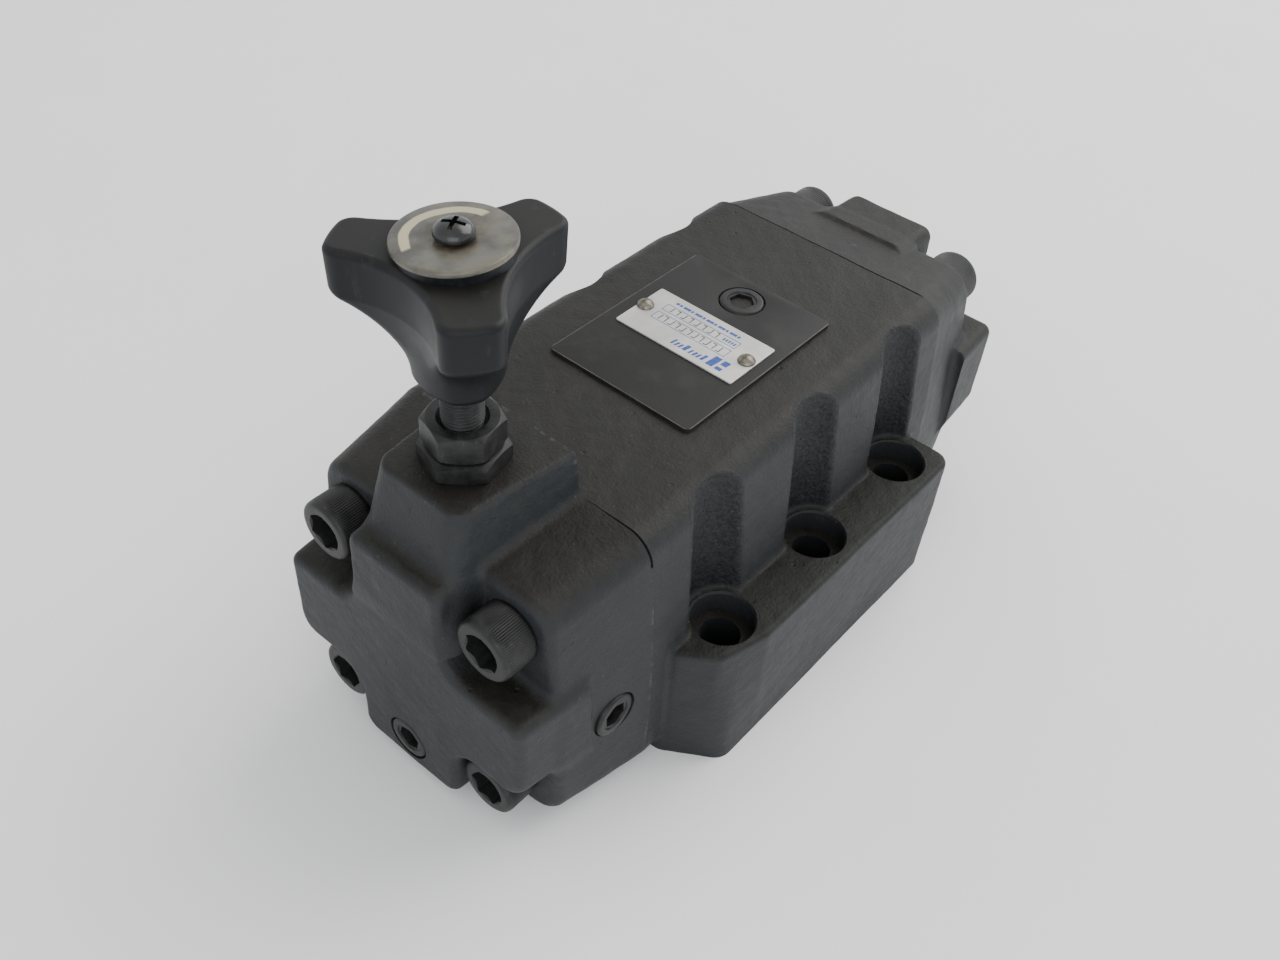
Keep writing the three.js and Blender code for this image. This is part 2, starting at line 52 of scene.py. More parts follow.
BODY_TOP, FLANGE_TOP = 85.6, 43.0
BORE_Z, BORE_RADIUS, GALLERY_RADIUS = 43.0, 14.0, 18.0
BOLT_X, BOLT_Y = 48.4, 42.05
BOLT_HOLE, SPOTFACE, SPOTFACE_Z = 5.5, 8.75, 36.5
POCKET_RADIUS = 10.9
SCREWS = [(x, z) for x in (-27.0, 27.0) for z in (70.0, 15.5)]
SCREW_POCKET, SCREW_HOLE = 8.7, 5.5
PORT_Y, PORT_RADIUS, DRAIN_X, DRAIN_RADIUS = 25.4, 11.0, 26.0, 3.2
RING_GROOVE = 1.7
PLUG_RADIUS = 6.75
GAUGE_PORT_Y, FRONT_PLUG_Z, SIDE_PLUG_Y, SIDE_PLUG_Z = 21.7, 13.0, -79.5, 35.0
ADJUSTER_Y = -85.2
BOSS_TOP = 98.0
NUT_TURN, NUT_HOLE, LOCK_NUT_Z = math.radians(43), 5.2, 103.1
KNOB_BOTTOM, KNOB_SHOULDER, KNOB_TOP, KNOB_REACH = 121.0, 142.0, 153.3, 26.4
KNOB_LOBES = [math.radians(a) for a in (85, 210, 324)]
DISC_Z = KNOB_TOP + 2.2
DISC_TILT = math.radians(3)
PAD_TOP = BODY_TOP + 1
PLATE_Z, PLATE_THICKNESS, PLATE_X, PLATE_Y = PAD_TOP + 0.02, 0.5, 0.4, -0.2
CAST_STEP = 0.7
KNOB_STEP = 0.42


# ---- distance functions: negative inside, p is (x, y, z) as arrays -------------------------
def round_and(a, b, radius):
    """Intersection of two solids whose shared edge is rounded."""
    u = np.maximum(a + radius, 0)
    v = np.maximum(b + radius, 0)
    return np.minimum(-radius, np.maximum(a, b)) + np.sqrt(u * u + v * v)


def round_or(a, b, radius):
    """Union of two solids with a fillet where they meet."""
    return -round_and(-a, -b, radius)


def waviness(p, amount):
    """Slow unevenness of a sand-cast skin."""
    x, y, z = p
    slow = np.sin(x * 0.21 + 1.3 * np.sin(y * 0.13)) * np.sin(z * 0.19 + 1.1 * np.sin(x * 0.11))
    quick = np.sin(x * 0.63 + z * 0.41) * np.sin(y * 0.57 - z * 0.33) * np.sin(z * 0.71 + y * 0.29)
    return amount * (slow + 0.6 * quick)


def drafted_section(p, from_joint, side_draft, end_draft, corner):
    """Common outline of the body and both covers, tapering away from the joint face."""
    x, _, z = p
    upper = np.abs(x) - 47.6 + 0.0973 * (z - 26)
    lower = np.abs(x) - 47.6 - 0.077 * (z - 26)
    side = round_and(upper, lower, 6) + side_draft * from_joint
    top = z - BODY_TOP + end_draft * from_joint
    bottom = 0.13 * np.maximum(from_joint, 0) + 0.15 - z
    return round_and(round_and(side, top, corner), bottom, 9)


def inset(corners, amount):
    """Corners of a convex outline, listed anticlockwise, moved in by amount on every side."""
    edges = [(np.subtract(b, a) / np.hypot(*np.subtract(b, a)), a) for a, b in
             zip(corners, corners[1:] + corners[:1])]
    sides = [(np.array((-d[1], d[0])), np.dot((-d[1], d[0]), a) + amount) for d, a in edges]
    return [np.linalg.solve((m, n), (f, g)) for (m, f), (n, g) in zip(sides[-1:] + sides[:-1], sides)]


def outline_distance(x, y, corners, radius):
    """Distance to a convex outline whose corners are rounded."""
    inner = inset(corners, radius)
    nearest, outside = 1e9, -1e9
    for a, b in zip(inner, inner[1:] + inner[:1]):
        dx, dy = b - a
        along = np.clip(((x - a[0]) * dx + (y - a[1]) * dy) / (dx * dx + dy * dy), 0, 1)
        nearest = np.minimum(nearest, np.hypot(x - a[0] - along * dx, y - a[1] - along * dy))
        outside = np.maximum(outside, ((x - a[0]) * dy - (y - a[1]) * dx) / math.hypot(dx, dy))
    return np.where(outside > 0, nearest, -nearest) - radius


def flange_shape(p):
    x, y, z = p
    upper = [(47.3, -60.25), (56.6, -53.2), (60.72, -38), (60.72, 55.5)]
    lower = [(45.5, -60.25), (60.72, -50.6), (60.72, 55.5)]
    upper, lower = (half + [(-u, v) for u, v in reversed(half)] for half in (upper, lower))
    height = np.clip(z / FLANGE_TOP, 0, 1)
    plan = height * outline_distance(x, y, upper, 4.5) + (1 - height) * outline_distance(x, y, lower, 6)
    return round_and(plan, z - FLANGE_TOP, 1.5)


def body_shape(p):
    x, y, z = p
    block = drafted_section(p, np.zeros_like(x), 0, 0, 7)
    for row in (-1, 0, 1):
        pocket = POCKET_RADIUS - np.hypot(np.abs(x) - BOLT_X, y - row * BOLT_Y)
        block = round_and(block, pocket, 1.3)
    return round_or(block, flange_shape(p), 1.6) + waviness(p, 0.12)


def cross_shape(p, from_joint, face, band_draft, band_low, band_high):
    """Column and band that stand out between the four screw pockets."""
    x, _, z = p
    across = np.abs(x)
    foot = 2.6 * np.clip((40 - z) / 14, 0, 1)
    column = round_and(across - 15.5 - foot, z - 84 + 0.08 * from_joint, 3.5)
    column = round_and(column, 0.5 + 0.06 * from_joint - z, 5)
    band = round_and(across - 46.5 + band_draft * from_joint, z - band_high, 3)
    band = round_and(band, band_low - z, 6.5)
    cross = round_or(column, band, 8)
    cross = round_and(cross, from_joint - face, 2.4)
    return np.maximum(cross, 22 - from_joint)


def front_cover_shape(p):
    x, y, z = p
    from_joint = FRONT_JOINT - y
    base = drafted_section(p, from_joint, 0.141, 0.13, 7)
    base = round_and(base, from_joint - 30.8, 2.4)
    shape = round_or(base, cross_shape(p, from_joint, 43.1, 0.127, 25.5, 54), 3)
    flank = np.abs(x) - 13.5 - 0.113 * (y + 100.5) - 0.14 * (BOSS_TOP - z)
    wall = -y - 100.5 - 0.24 * (BOSS_TOP - z)
    boss = round_and(round_and(flank, wall, 4.5), z - BOSS_TOP, 1.0)
    boss = np.maximum(boss, 60 - z)
    return round_or(shape, boss, 2.2) + waviness(p, 0.1)


def rear_cover_shape(p):
    _, y, _ = p
    from_joint = y - REAR_JOINT
    base = drafted_section(p, from_joint, 0.188, 0.188, 9)
    base = round_and(base, from_joint - 29.7, 2.4)
    shape = round_or(base, cross_shape(p, from_joint, 42.6, 0.074, 24, 57.3), 3)
    return shape + waviness(p, 0.1)


def knob_flutes(x, y):
    """Concave flutes between the lobes, and the round ends of the lobes."""
    plan = np.hypot(x, y) - KNOB_REACH
    for i, angle in enumerate(KNOB_LOBES):
        following = KNOB_LOBES[(i + 1) % 3] + (2 * math.pi if i == 2 else 0)
        half = (following - angle) / 2
        valley = angle + half
        root, tip, spread = 13.4, 27.4, math.radians(15)
        away = (tip * tip - root * root) / (2 * (tip * math.cos(half - spread) - root))
        flute = away - root - np.hypot(x - away * math.cos(valley), y - away * math.sin(valley))
        plan = round_and(plan, flute, 3.2)
    return plan


def knob_shape(p):
    x, y, z = p[0], p[1] - ADJUSTER_Y, p[2]
    radius = np.hypot(x, y)
    rise = np.clip((z - KNOB_BOTTOM) / (KNOB_SHOULDER - KNOB_BOTTOM), 0, 2)
    slope = 1 / np.sqrt(1 + (1.7 * np.clip(rise, 0, 1)) ** 2)
    under = (radius - 10.2 - (KNOB_REACH - 10.2) * rise ** 2.6) * slope
    plan = knob_flutes(x, y) + 0.03 * (KNOB_TOP - z) + 0.2 * np.maximum(KNOB_SHOULDER - z, 0)
    lobes = round_and(plan, under, 1.8)
    core = radius - 8.4 - 0.04 * (z - KNOB_BOTTOM)
    shape = round_or(lobes, core, 3)
    shape = round_and(shape, z - KNOB_TOP, 1.6)
    return round_and(shape, KNOB_BOTTOM - z, 2)


# ---- mesh helpers --------------------------------------------------------------------------
def to_mesh(name, points, faces):
    mesh = bpy.data.meshes.new(name)
    mesh.from_pydata([tuple(v) for v in points], [], [tuple(f) for f in faces])
    mesh.validate()
    return mesh


def add_object(name, mesh):
    piece = bpy.data.objects.new(name, mesh)
    bpy.context.scene.collection.objects.link(piece)
    return piece


def settle(shape, points, reach, rounds=2):
    """Moves points by at most reach towards the surface where the distance function is zero."""
    step = 0.05
    for _ in range(rounds):
        here = np.clip(shape(tuple(points.T)), -reach, reach)
        slope = np.empty_like(points)
        for axis in range(3):
            shift = np.zeros(3)
            shift[axis] = step
            ahead = shape(tuple((points + shift).T))
            behind = shape(tuple((points - shift).T))
            slope[:, axis] = (ahead - behind) / (2 * step)
        steep = np.maximum((slope * slope).sum(axis=1), 0.5)
        points = points - slope * (here / steep)[:, None]
    return points


def mesh_from_shape(name, shape, low, high, step):
    """Surface of a distance function inside a box, as a mesh of small quads."""
    axes = [np.arange(a, b, step, dtype=np.float32) for a, b in zip(low, high)]
    grid = np.meshgrid(*axes, indexing="ij", sparse=True)
    volume = openvdb.FloatGrid(background=10.0)
    volume.copyFromArray(np.ascontiguousarray(shape(tuple(grid)), dtype=np.float32))
    points, triangles, quads = volume.convertToPolygons(0.0, 0.0)
    points = settle(shape, points.astype(np.float64) * step + np.array(low), 0.3 * step)
    faces = [face[::-1] for face in triangles.tolist() + quads.tolist()]
    return add_object(name, to_mesh(name, points * MM, faces))


def polar(radius, turn, height):
    """Point in metres at a fraction of a turn about Z."""
    angle = 2 * math.pi * turn
    return radius * math.cos(angle) * MM, radius * math.sin(angle) * MM, height * MM


def band_faces(lower, upper, segments):
    """Faces between two rings of points; a ring of one point is a pole."""
    faces = []
    for i in range(segments):
        j = (i + 1) % segments
        corners = [ring[k % len(ring)] for ring, k in ((lower, i), (lower, j), (upper, j), (upper, i))]
        faces.append(list(dict.fromkeys(corners)))
    return faces


def lathe_mesh(name, profile, segments=96):
    """Solid of revolution about Z from (radius, height) points in millimetres."""
    points, faces, rings = [], [], []
    for radius, height in profile:
        count = segments if radius else 1
        rings.append(range(len(points), len(points) + count))
        points += [polar(radius, i / segments, height) for i in range(count)]
    for lower, upper in zip(rings, rings[1:]):
        faces += band_faces(lower, upper, segments)
    return to_mesh(name, points, faces)


def prism(outline, low, high, start=0):
    """Points and faces of an upright prism over an outline; start is the number of its first point."""
    count = len(outline)
    points = [(x * MM, y * MM, z * MM) for z in (low, high) for x, y in outline]
    lower, upper = range(start, start + count), range(start + count, start + 2 * count)
    return points, [list(lower)[::-1], list(upper)] + band_faces(lower, upper, count)


def prism_mesh(name, outline, low, high):
    return to_mesh(name, *prism(outline, low, high))


def hexagon(flats, turn=0.0):
    radius = flats / math.sqrt(3)
    angles = [turn + k * math.pi / 3 for k in range(6)]
    return [(radius * math.cos(a), radius * math.sin(a)) for a in angles]


def round_rectangle(x0, y0, x1, y1, radius, steps=8):
    left, right, low, high = x0 + radius, x1 - radius, y0 + radius, y1 - radius
    outline = []
    for quarter, (cx, cy) in enumerate(((right, high), (left, high), (left, low), (right, low))):
        for k in range(steps + 1):
            angle = (quarter + k / steps) * math.pi / 2
            outline.append((cx + radius * math.cos(angle), cy + radius * math.sin(angle)))
    return outline


def bake_in(piece):
    """Replaces the mesh of a piece by what its modifiers make of it."""
    graph = bpy.context.evaluated_depsgraph_get()
    made = bpy.data.meshes.new_from_object(piece.evaluated_get(graph))
    old = piece.data
    piece.modifiers.clear()
    piece.data = made
    bpy.data.meshes.remove(old)


def combine(piece, tool_mesh, operation, place=Matrix()):
    """Boolean of a piece with a tool mesh, which is used up."""
    tool = add_object("tool", tool_mesh)
    tool.matrix_world = place
    modifier = piece.modifiers.new("cut", "BOOLEAN")
    modifier.operation = operation
    modifier.solver = "MANIFOLD"
    modifier.object = tool
    bpy.context.view_layer.update()
    bake_in(piece)
    bpy.data.objects.remove(tool)
    bpy.data.meshes.remove(tool_mesh)


def cut_round(piece, axis, centre, profile, segments=64):
    """Turned cut along an axis: profile heights are coordinates along that axis."""
    quarter = math.pi / 2
    turn = {"x": Matrix.Rotation(quarter, 4, "Y"), "y": Matrix.Rotation(-quarter, 4, "X"), "z": Matrix()}
    place = Matrix.Translation(Vector(centre) * MM) @ turn[axis]
    combine(piece, lathe_mesh("cutter", profile, segments), "DIFFERENCE", place)


def drill(piece, axis, centre, radius, start, end, segments=64):
    low, high = min(start, end), max(start, end)
    cut_round(piece, axis, centre, [(0, low), (radius, low), (radius, high), (0, high)], segments)


def box_mesh(low, high):
    (x0, y0, z0), (x1, y1, z1) = low, high
    return prism_mesh("box", [(x0, y0), (x1, y0), (x1, y1), (x0, y1)], z0, z1)


def keep_inside(piece, low, high):
    """Machines a casting flat on the faces of a box."""
    combine(piece, box_mesh(low, high), "INTERSECT")


def smooth(piece, angle=32):
    mesh = piece.data
    mesh.polygons.foreach_set("use_smooth", [True] * len(mesh.polygons))
    mesh.set_sharp_from_angle(angle=math.radians(angle))


def bevel(piece, width, segments, angle):
    modifier = piece.modifiers.new("bevel", "BEVEL")
    modifier.width = width * MM
    modifier.segments = segments
    modifier.limit_method = "ANGLE"
    modifier.angle_limit = math.radians(angle)
    bpy.context.view_layer.update()
    bake_in(piece)


# ---- shader helpers ------------------------------------------------------------------------
class Shader:
    """Small wrapper that adds and links the nodes of one material."""

    def __init__(self, name, **sockets):
        self.material = bpy.data.materials.new(name)
        self.material.use_nodes = True
        self.tree = self.material.node_tree
        self.tree.nodes.clear()
        values = {socket.replace("_", " "): value for socket, value in sockets.items()}
        self.surface = self.add("BsdfPrincipled", values)
        self.add("OutputMaterial", {"Surface": self.surface.outputs[0]})
        self.place = self.add("TexCoord").outputs["Object"]

    def feed(self, socket, value):
        """Links a socket, or sets it to a plain value."""
        if isinstance(value, bpy.types.NodeSocket):
            self.tree.links.new(value, socket)
        else:
            socket.default_value = value

    def add(self, kind, inputs=None, **settings):
        node = self.tree.nodes.new("ShaderNode" + kind)
        for key, value in settings.items():
            setattr(node, key, value)
        for key, value in (inputs or {}).items():
            self.feed(node.inputs[key], value)
        return node

    def noise(self, size, detail=4.0, roughness=0.55, stretch=(1, 1, 1)):
        """Noise from 0 to 1 whose blobs are about size millimetres."""
        mapping = self.add("Mapping", {"Scale": stretch, "Vector": self.place})
        inputs = {"Scale": 1 / (size * MM), "Detail": detail, "Roughness": roughness}
        return self.add("TexNoise", inputs | {"Vector": mapping.outputs[0]}).outputs["Fac"]

    def cells(self, size):
        """Distance to scattered points about size millimetres apart."""
        node = self.add("TexVoronoi", {"Scale": 1 / (size * MM), "Vector": self.place})
        return node.outputs["Distance"]

    def ramp(self, value, low, high, start=0.0, end=1.0):
        """Value between low and high, carried over to start and end and held there."""
        inputs = {"Value": value, "From Min": low, "From Max": high, "To Min": start, "To Max": end}
        return self.add("MapRange", inputs, clamp=True).outputs["Result"]

    def math(self, operation, a, b=0.0):
        return self.add("Math", {0: a, 1: b}, operation=operation).outputs[0]

    def times(self, *factors):
        result = factors[0]
        for factor in factors[1:]:
            result = self.math("MULTIPLY", result, factor)
        return result

    def xyz(self, vector=None):
        """The three parts of a vector, or else of the place on the piece."""
        return self.add("SeparateXYZ", {0: vector or self.place}).outputs

    def mix(self, factor, a, b):
        inputs = {"Factor": factor, "A": a, "B": b}
        return self.add("Mix", inputs, data_type="RGBA").outputs["Result"]

    def bump(self, height, depth, normal=None):
        """Bump whose full height is depth millimetres."""
        inputs = {"Distance": depth * MM, "Height": height}
        if normal is not None:
            inputs["Normal"] = normal
        return self.add("Bump", inputs).outputs["Normal"]

    def edges(self, low, high):
        """1 on worn convex edges, from the curvature of a dense mesh."""
        pointy = self.add("NewGeometry").outputs["Pointiness"]
        return self.ramp(pointy, low, high)

    def upward(self):
        """1 where the surface faces up."""
        normal = self.add("NewGeometry").outputs["Normal"]
        return self.ramp(self.xyz(normal)["Z"], 0.3, 0.95)

    def outer_edge(self):
        """1 on the front and side rims of the top pad, where handling has worn the paint."""
        x, y, _ = self.xyz()
        right = self.ramp(x, 23.5 * MM, 23.7 * MM)
        left = self.ramp(x, -23.6 * MM, -23.75 * MM)
        front = self.ramp(y, -31.75 * MM, -31.95 * MM)
        rim = self.math("MAXIMUM", self.math("MAXIMUM", right, left), front)
        return self.times(rim, self.upward())

    def in_pockets(self):
        """1 in the rough concave pockets over the six bolt holes, which get painted shade and a coarser
        bump.
        """
        x, y, z = self.xyz()
        across = self.math("SUBTRACT", self.math("ABSOLUTE", x), BOLT_X * MM)
        folded = self.math("PINGPONG", self.math("ADD", y, 2 * BOLT_Y * MM), BOLT_Y / 2 * MM)
        squares = self.math("ADD", self.times(across, across), self.times(folded, folded))
        near = self.ramp(self.math("SQRT", squares), 12.6 * MM, 11.2 * MM)
        above = self.ramp(z, (FLANGE_TOP + 0.5) * MM, (FLANGE_TOP + 2) * MM)
        along = self.ramp(self.math("ABSOLUTE", y), 57 * MM, 55 * MM)
        return self.times(near, above, along)

    def on_flange(self):
        """1 on the upper face of the bolting flange, which is coloured darker."""
        x, y, z = self.xyz()
        low = self.ramp(z, (FLANGE_TOP - 1.6) * MM, (FLANGE_TOP - 0.3) * MM)
        high = self.ramp(z, (FLANGE_TOP + 3) * MM, (FLANGE_TOP + 1) * MM)
        beside = self.ramp(self.math("ABSOLUTE", x), 40 * MM, 45 * MM)
        front = self.ramp(y, (FRONT_JOINT + 3) * MM, (FRONT_JOINT + 6) * MM)
        return self.times(low, high, beside, front, self.upward())

    def near_adjuster(self):
        """1 on the boss top round the adjuster, fading outwards along a ragged edge."""
        centre = (0, ADJUSTER_Y * MM, BOSS_TOP * MM)
        offset = self.add("VectorMath", {0: self.place, 1: centre}, operation="SUBTRACT")
        length = self.add("VectorMath", {0: offset.outputs[0]}, operation="LENGTH")
        ragged = self.times(self.math("SUBTRACT", self.noise(6, 4, 0.6), 0.5), 8 * MM)
        return self.ramp(self.math("ADD", length.outputs["Value"], ragged), 15 * MM, 11.2 * MM)

    def finish(self, colour, roughness, normal=None):
        for key, value in (("Base Color", colour), ("Roughness", roughness), ("Normal", normal)):
            if value is not None:
                self.feed(self.surface.inputs[key], value)
        return self.material


def grey(value, warmth=0.0):
    return (value * (1 + warmth), value, value * (1 - warmth), 1)


def cast_paint():
    """Thin dark paint over a sand-cast skin, rubbed light on its edges, with light painted in: darker and
    browner on the upward faces as painted shade, lighter and bluer on the sides as painted sheen.
    """
    s = Shader("cast_paint", Specular_IOR_Level=0.22)
    broad = s.ramp(s.noise(26, 3), 0.35, 0.65)
    mottle = s.noise(3.4, 5, 0.65)
    # painted light: the sides get a lighter, bluer colour as painted sheen, the upward faces a darker,
    # browner one as painted shade
    side = s.mix(broad, (0.0178, 0.0192, 0.0210, 1), (0.0236, 0.0254, 0.0275, 1))
    top = s.mix(broad, (0.0118, 0.0110, 0.0094, 1), (0.0160, 0.0149, 0.0128, 1))
    colour = s.mix(s.upward(), side, top)
    # darker colour on the upper face of the bolting flange
    colour = s.mix(s.times(s.on_flange(), 0.75), colour, (0.006, 0.006, 0.005, 1))
    colour = s.mix(s.ramp(mottle, 0.42, 0.74, 0, 0.25), colour, grey(0.040, 0.02))
    grime = s.times(s.near_adjuster(), s.ramp(mottle, 0.3, 0.55, 0.55, 0.85))
    colour = s.mix(grime, colour, (0.009, 0.008, 0.007, 1))
    # painted shade: darker, patchy colour inside the concave bolt pockets
    pocket = s.times(s.in_pockets(), s.ramp(s.noise(1.1, 3, 0.6), 0.36, 0.58, 0.9, 0.15))
    colour = s.mix(pocket, colour, (0.0085, 0.0090, 0.0095, 1))
    specks = s.ramp(s.noise(1.1, 2, 0.5), 0.70, 0.77)
    colour = s.mix(s.times(specks, 0.3), colour, (0.10, 0.10, 0.095, 1))
    worn = s.times(s.edges(0.53, 0.60), s.ramp(s.noise(4.5, 5, 0.7), 0.42, 0.64))
    colour = s.mix(s.times(worn, 0.35), colour, (0.10, 0.104, 0.112, 1))
    roughness = s.ramp(mottle, 0.3, 0.8, 0.48, 0.62)
    pits = s.ramp(s.cells(8.5), 0.0, 0.085)
    coarse = s.times(s.noise(1.3, 3, 0.65), s.math("ADD", s.in_pockets(), 0.3))
    normal = s.bump(s.noise(7, 3), 0.30)
    normal = s.bump(coarse, 0.45, normal)
    normal = s.bump(s.noise(0.7, 2, 0.5), 0.11, normal)
    normal = s.bump(pits, 0.35, normal)
    return s.finish(colour, roughness, normal)


def machined_paint():
    """Painted machined pad, smoother than the casting."""
    s = Shader("machined_paint", Specular_IOR_Level=0.22)
    broad = s.noise(16, 4)
    colour = s.mix(s.ramp(broad, 0.35, 0.65), grey(0.0130, 0.05), grey(0.0170, 0.05))
    scratches = s.ramp(s.noise(4, 5, 0.7, (0.12, 1, 1)), 0.64, 0.74)
    colour = s.mix(s.times(scratches, 0.10), colour, grey(0.12, 0.03))
    smudge = s.ramp(s.noise(12, 4, 0.6), 0.52, 0.72)
    colour = s.mix(s.times(smudge, 0.35), colour, grey(0.036, 0.05))
    worn = s.times(s.outer_edge(), s.ramp(s.noise(5, 4, 0.6), 0.30, 0.55, 0.25, 1))
    colour = s.mix(s.times(worn, 0.6), colour, grey(0.13, 0.06))
    roughness = s.ramp(broad, 0.3, 0.7, 0.46, 0.6)
    normal = s.bump(s.noise(0.5, 3), 0.03)
    return s.finish(colour, roughness, normal)


def black_steel():
    """Black-oxide steel of the screws and nuts."""
    s = Shader("black_steel", Metallic=0.4, Specular_IOR_Level=0.35)
    blotches = s.noise(3.5, 5, 0.6)
    colour = s.mix(s.ramp(blotches, 0.35, 0.7), grey(0.015), grey(0.029, 0.02))
    rubbed = s.ramp(s.noise(1.6, 4, 0.7), 0.60, 0.74)
    colour = s.mix(s.times(rubbed, 0.25), colour, grey(0.14, 0.01))
    normal = s.bump(s.noise(0.35, 3), 0.02)
    return s.finish(colour, s.ramp(blotches, 0.3, 0.75, 0.36, 0.56), normal)


def socket_shade():
    """Painted shade inside the hexagon sockets: near-black colour standing in for the shade in the recess.
    """
    s = Shader("socket_shade", Specular_IOR_Level=0.15)
    dirt = s.noise(1.2, 4)
    return s.finish(s.mix(dirt, grey(0.004), grey(0.010)), s.ramp(dirt, 0.3, 0.7, 0.55, 0.7))


def glossy_black():
    """Shiny black finish of the small screw in the knob."""
    s = Shader("glossy_black", Specular_IOR_Level=0.6)
    smear = s.noise(1.5, 4)
    colour = s.mix(s.ramp(smear, 0.4, 0.7), grey(0.006), grey(0.014))
    return s.finish(colour, s.ramp(smear, 0.3, 0.7, 0.16, 0.3))


def bright_steel():
    s = Shader("bright_steel", Metallic=1.0)
    tarnish = s.noise(2.2, 5, 0.65)
    colour = s.mix(s.ramp(tarnish, 0.35, 0.7), grey(0.40, 0.04), grey(0.62, 0.03))
    normal = s.bump(s.noise(0.3, 2, 0.5), 0.006)
    return s.finish(colour, s.ramp(tarnish, 0.3, 0.7, 0.25, 0.42), normal)


def aged_rivet():
    """Dull nickel of the nameplate rivets, brown in patches."""
    s = Shader("aged_rivet", Metallic=0.9)
    tarnish = s.noise(1.3, 5, 0.65)
    colour = s.mix(s.ramp(tarnish, 0.35, 0.65), (0.10, 0.085, 0.065, 1), (0.26, 0.24, 0.20, 1))
    return s.finish(colour, s.ramp(tarnish, 0.3, 0.7, 0.28, 0.45))


def spring_steel():
    s = Shader("spring_steel", Metallic=0.9)
    mottle = s.noise(1.4, 4, 0.6)
    colour = s.mix(s.ramp(mottle, 0.35, 0.7), grey(0.13, 0.02), grey(0.24, 0.02))
    normal = s.bump(s.noise(0.4, 3), 0.01)
    return s.finish(colour, s.ramp(mottle, 0.3, 0.7, 0.3, 0.48), normal)


def machined_iron():
    """Bare turned or ground cast iron with a little staining."""
    s = Shader("machined_iron", Metallic=0.85)
    lines = s.noise(0.3, 3, 0.6, (1, 0.06, 1))
    stain = s.noise(9, 4, 0.6)
    colour = s.mix(s.ramp(lines, 0.3, 0.7), grey(0.22, 0.02), grey(0.33, 0.02))
    colour = s.mix(s.ramp(stain, 0.5, 0.72, 0, 0.55), colour, (0.15, 0.12, 0.09, 1))
    normal = s.bump(lines, 0.006)
    return s.finish(colour, s.ramp(stain, 0.3, 0.7, 0.3, 0.5), normal)


def ground_steel():
    s = Shader("ground_steel", Metallic=1.0)
    lines = s.noise(0.25, 2, 0.5, (1, 0.05, 1))
    colour = s.mix(s.ramp(lines, 0.3, 0.7), grey(0.42), grey(0.55, 0.01))
    return s.finish(colour, s.ramp(lines, 0.3, 0.7, 0.2, 0.36), s.bump(lines, 0.004))


def rubber():
    s = Shader("seal_rubber", Specular_IOR_Level=0.4)
    bloom = s.noise(1.5, 4)
    colour = s.mix(s.ramp(bloom, 0.4, 0.7), grey(0.016), grey(0.028))
    return s.finish(colour, s.ramp(bloom, 0.3, 0.7, 0.5, 0.68), s.bump(s.noise(0.3, 2), 0.01))


def knob_plastic():
    """Satin black moulded plastic with faint handling marks, and light painted in: lighter and warmer on
    the upward faces as painted highlight, darker and bluer on the sides as painted shade.
    """
    s = Shader("knob_plastic", Specular_IOR_Level=0.18)
    broad = s.noise(14, 4)
    # painted light: darker, bluer colour on the sides as painted shade, lighter, warmer colour on the
    # upward faces as painted highlight
    side = s.mix(s.ramp(broad, 0.35, 0.7), (0.0060, 0.0070, 0.0084, 1), (0.0095, 0.0106, 0.0124, 1))
    top = s.mix(s.ramp(broad, 0.35, 0.7), (0.012, 0.0115, 0.011, 1), (0.018, 0.0172, 0.016, 1))
    colour = s.mix(s.upward(), side, top)
    streak = s.ramp(s.noise(5, 5, 0.7, (1, 1, 0.25)), 0.60, 0.76)
    colour = s.mix(s.times(streak, 0.25), colour, grey(0.07, -0.03))
    worn = s.times(s.edges(0.54, 0.64), s.ramp(s.noise(3, 4, 0.7), 0.45, 0.65))
    colour = s.mix(s.times(worn, 0.25), colour, grey(0.10, -0.02))
    roughness = s.ramp(broad, 0.3, 0.7, 0.40, 0.52)
    normal = s.bump(s.noise(0.4, 3), 0.014)
    return s.finish(colour, roughness, normal)


def plate_aluminium():
    """Anodised aluminium nameplate, slightly yellowed."""
    s = Shader("plate_aluminium", Metallic=0.25, Specular_IOR_Level=0.5)
    broad = s.noise(7, 4)
    colour = s.mix(s.ramp(broad, 0.35, 0.7), (0.46, 0.45, 0.42, 1), (0.56, 0.55, 0.52, 1))
    dirt = s.ramp(s.noise(1.6, 5, 0.7), 0.66, 0.82)
    colour = s.mix(s.times(dirt, 0.35), colour, (0.24, 0.21, 0.16, 1))
    roughness = s.ramp(s.noise(0.3, 2, 0.5, (1, 0.08, 1)), 0.3, 0.7, 0.32, 0.46)
    normal = s.bump(s.noise(0.25, 2, 0.5, (1, 0.08, 1)), 0.004)
    return s.finish(colour, roughness, normal)


def ink(name, colour):
    s = Shader(name, Specular_IOR_Level=0.4)
    patch = s.noise(0.8, 4)
    faded = tuple(0.88 * c + 0.12 * 0.5 for c in colour[:3]) + (1,)
    return s.finish(s.mix(s.ramp(patch, 0.45, 0.75), colour, faded), s.ramp(patch, 0.3, 0.7, 0.4, 0.55))


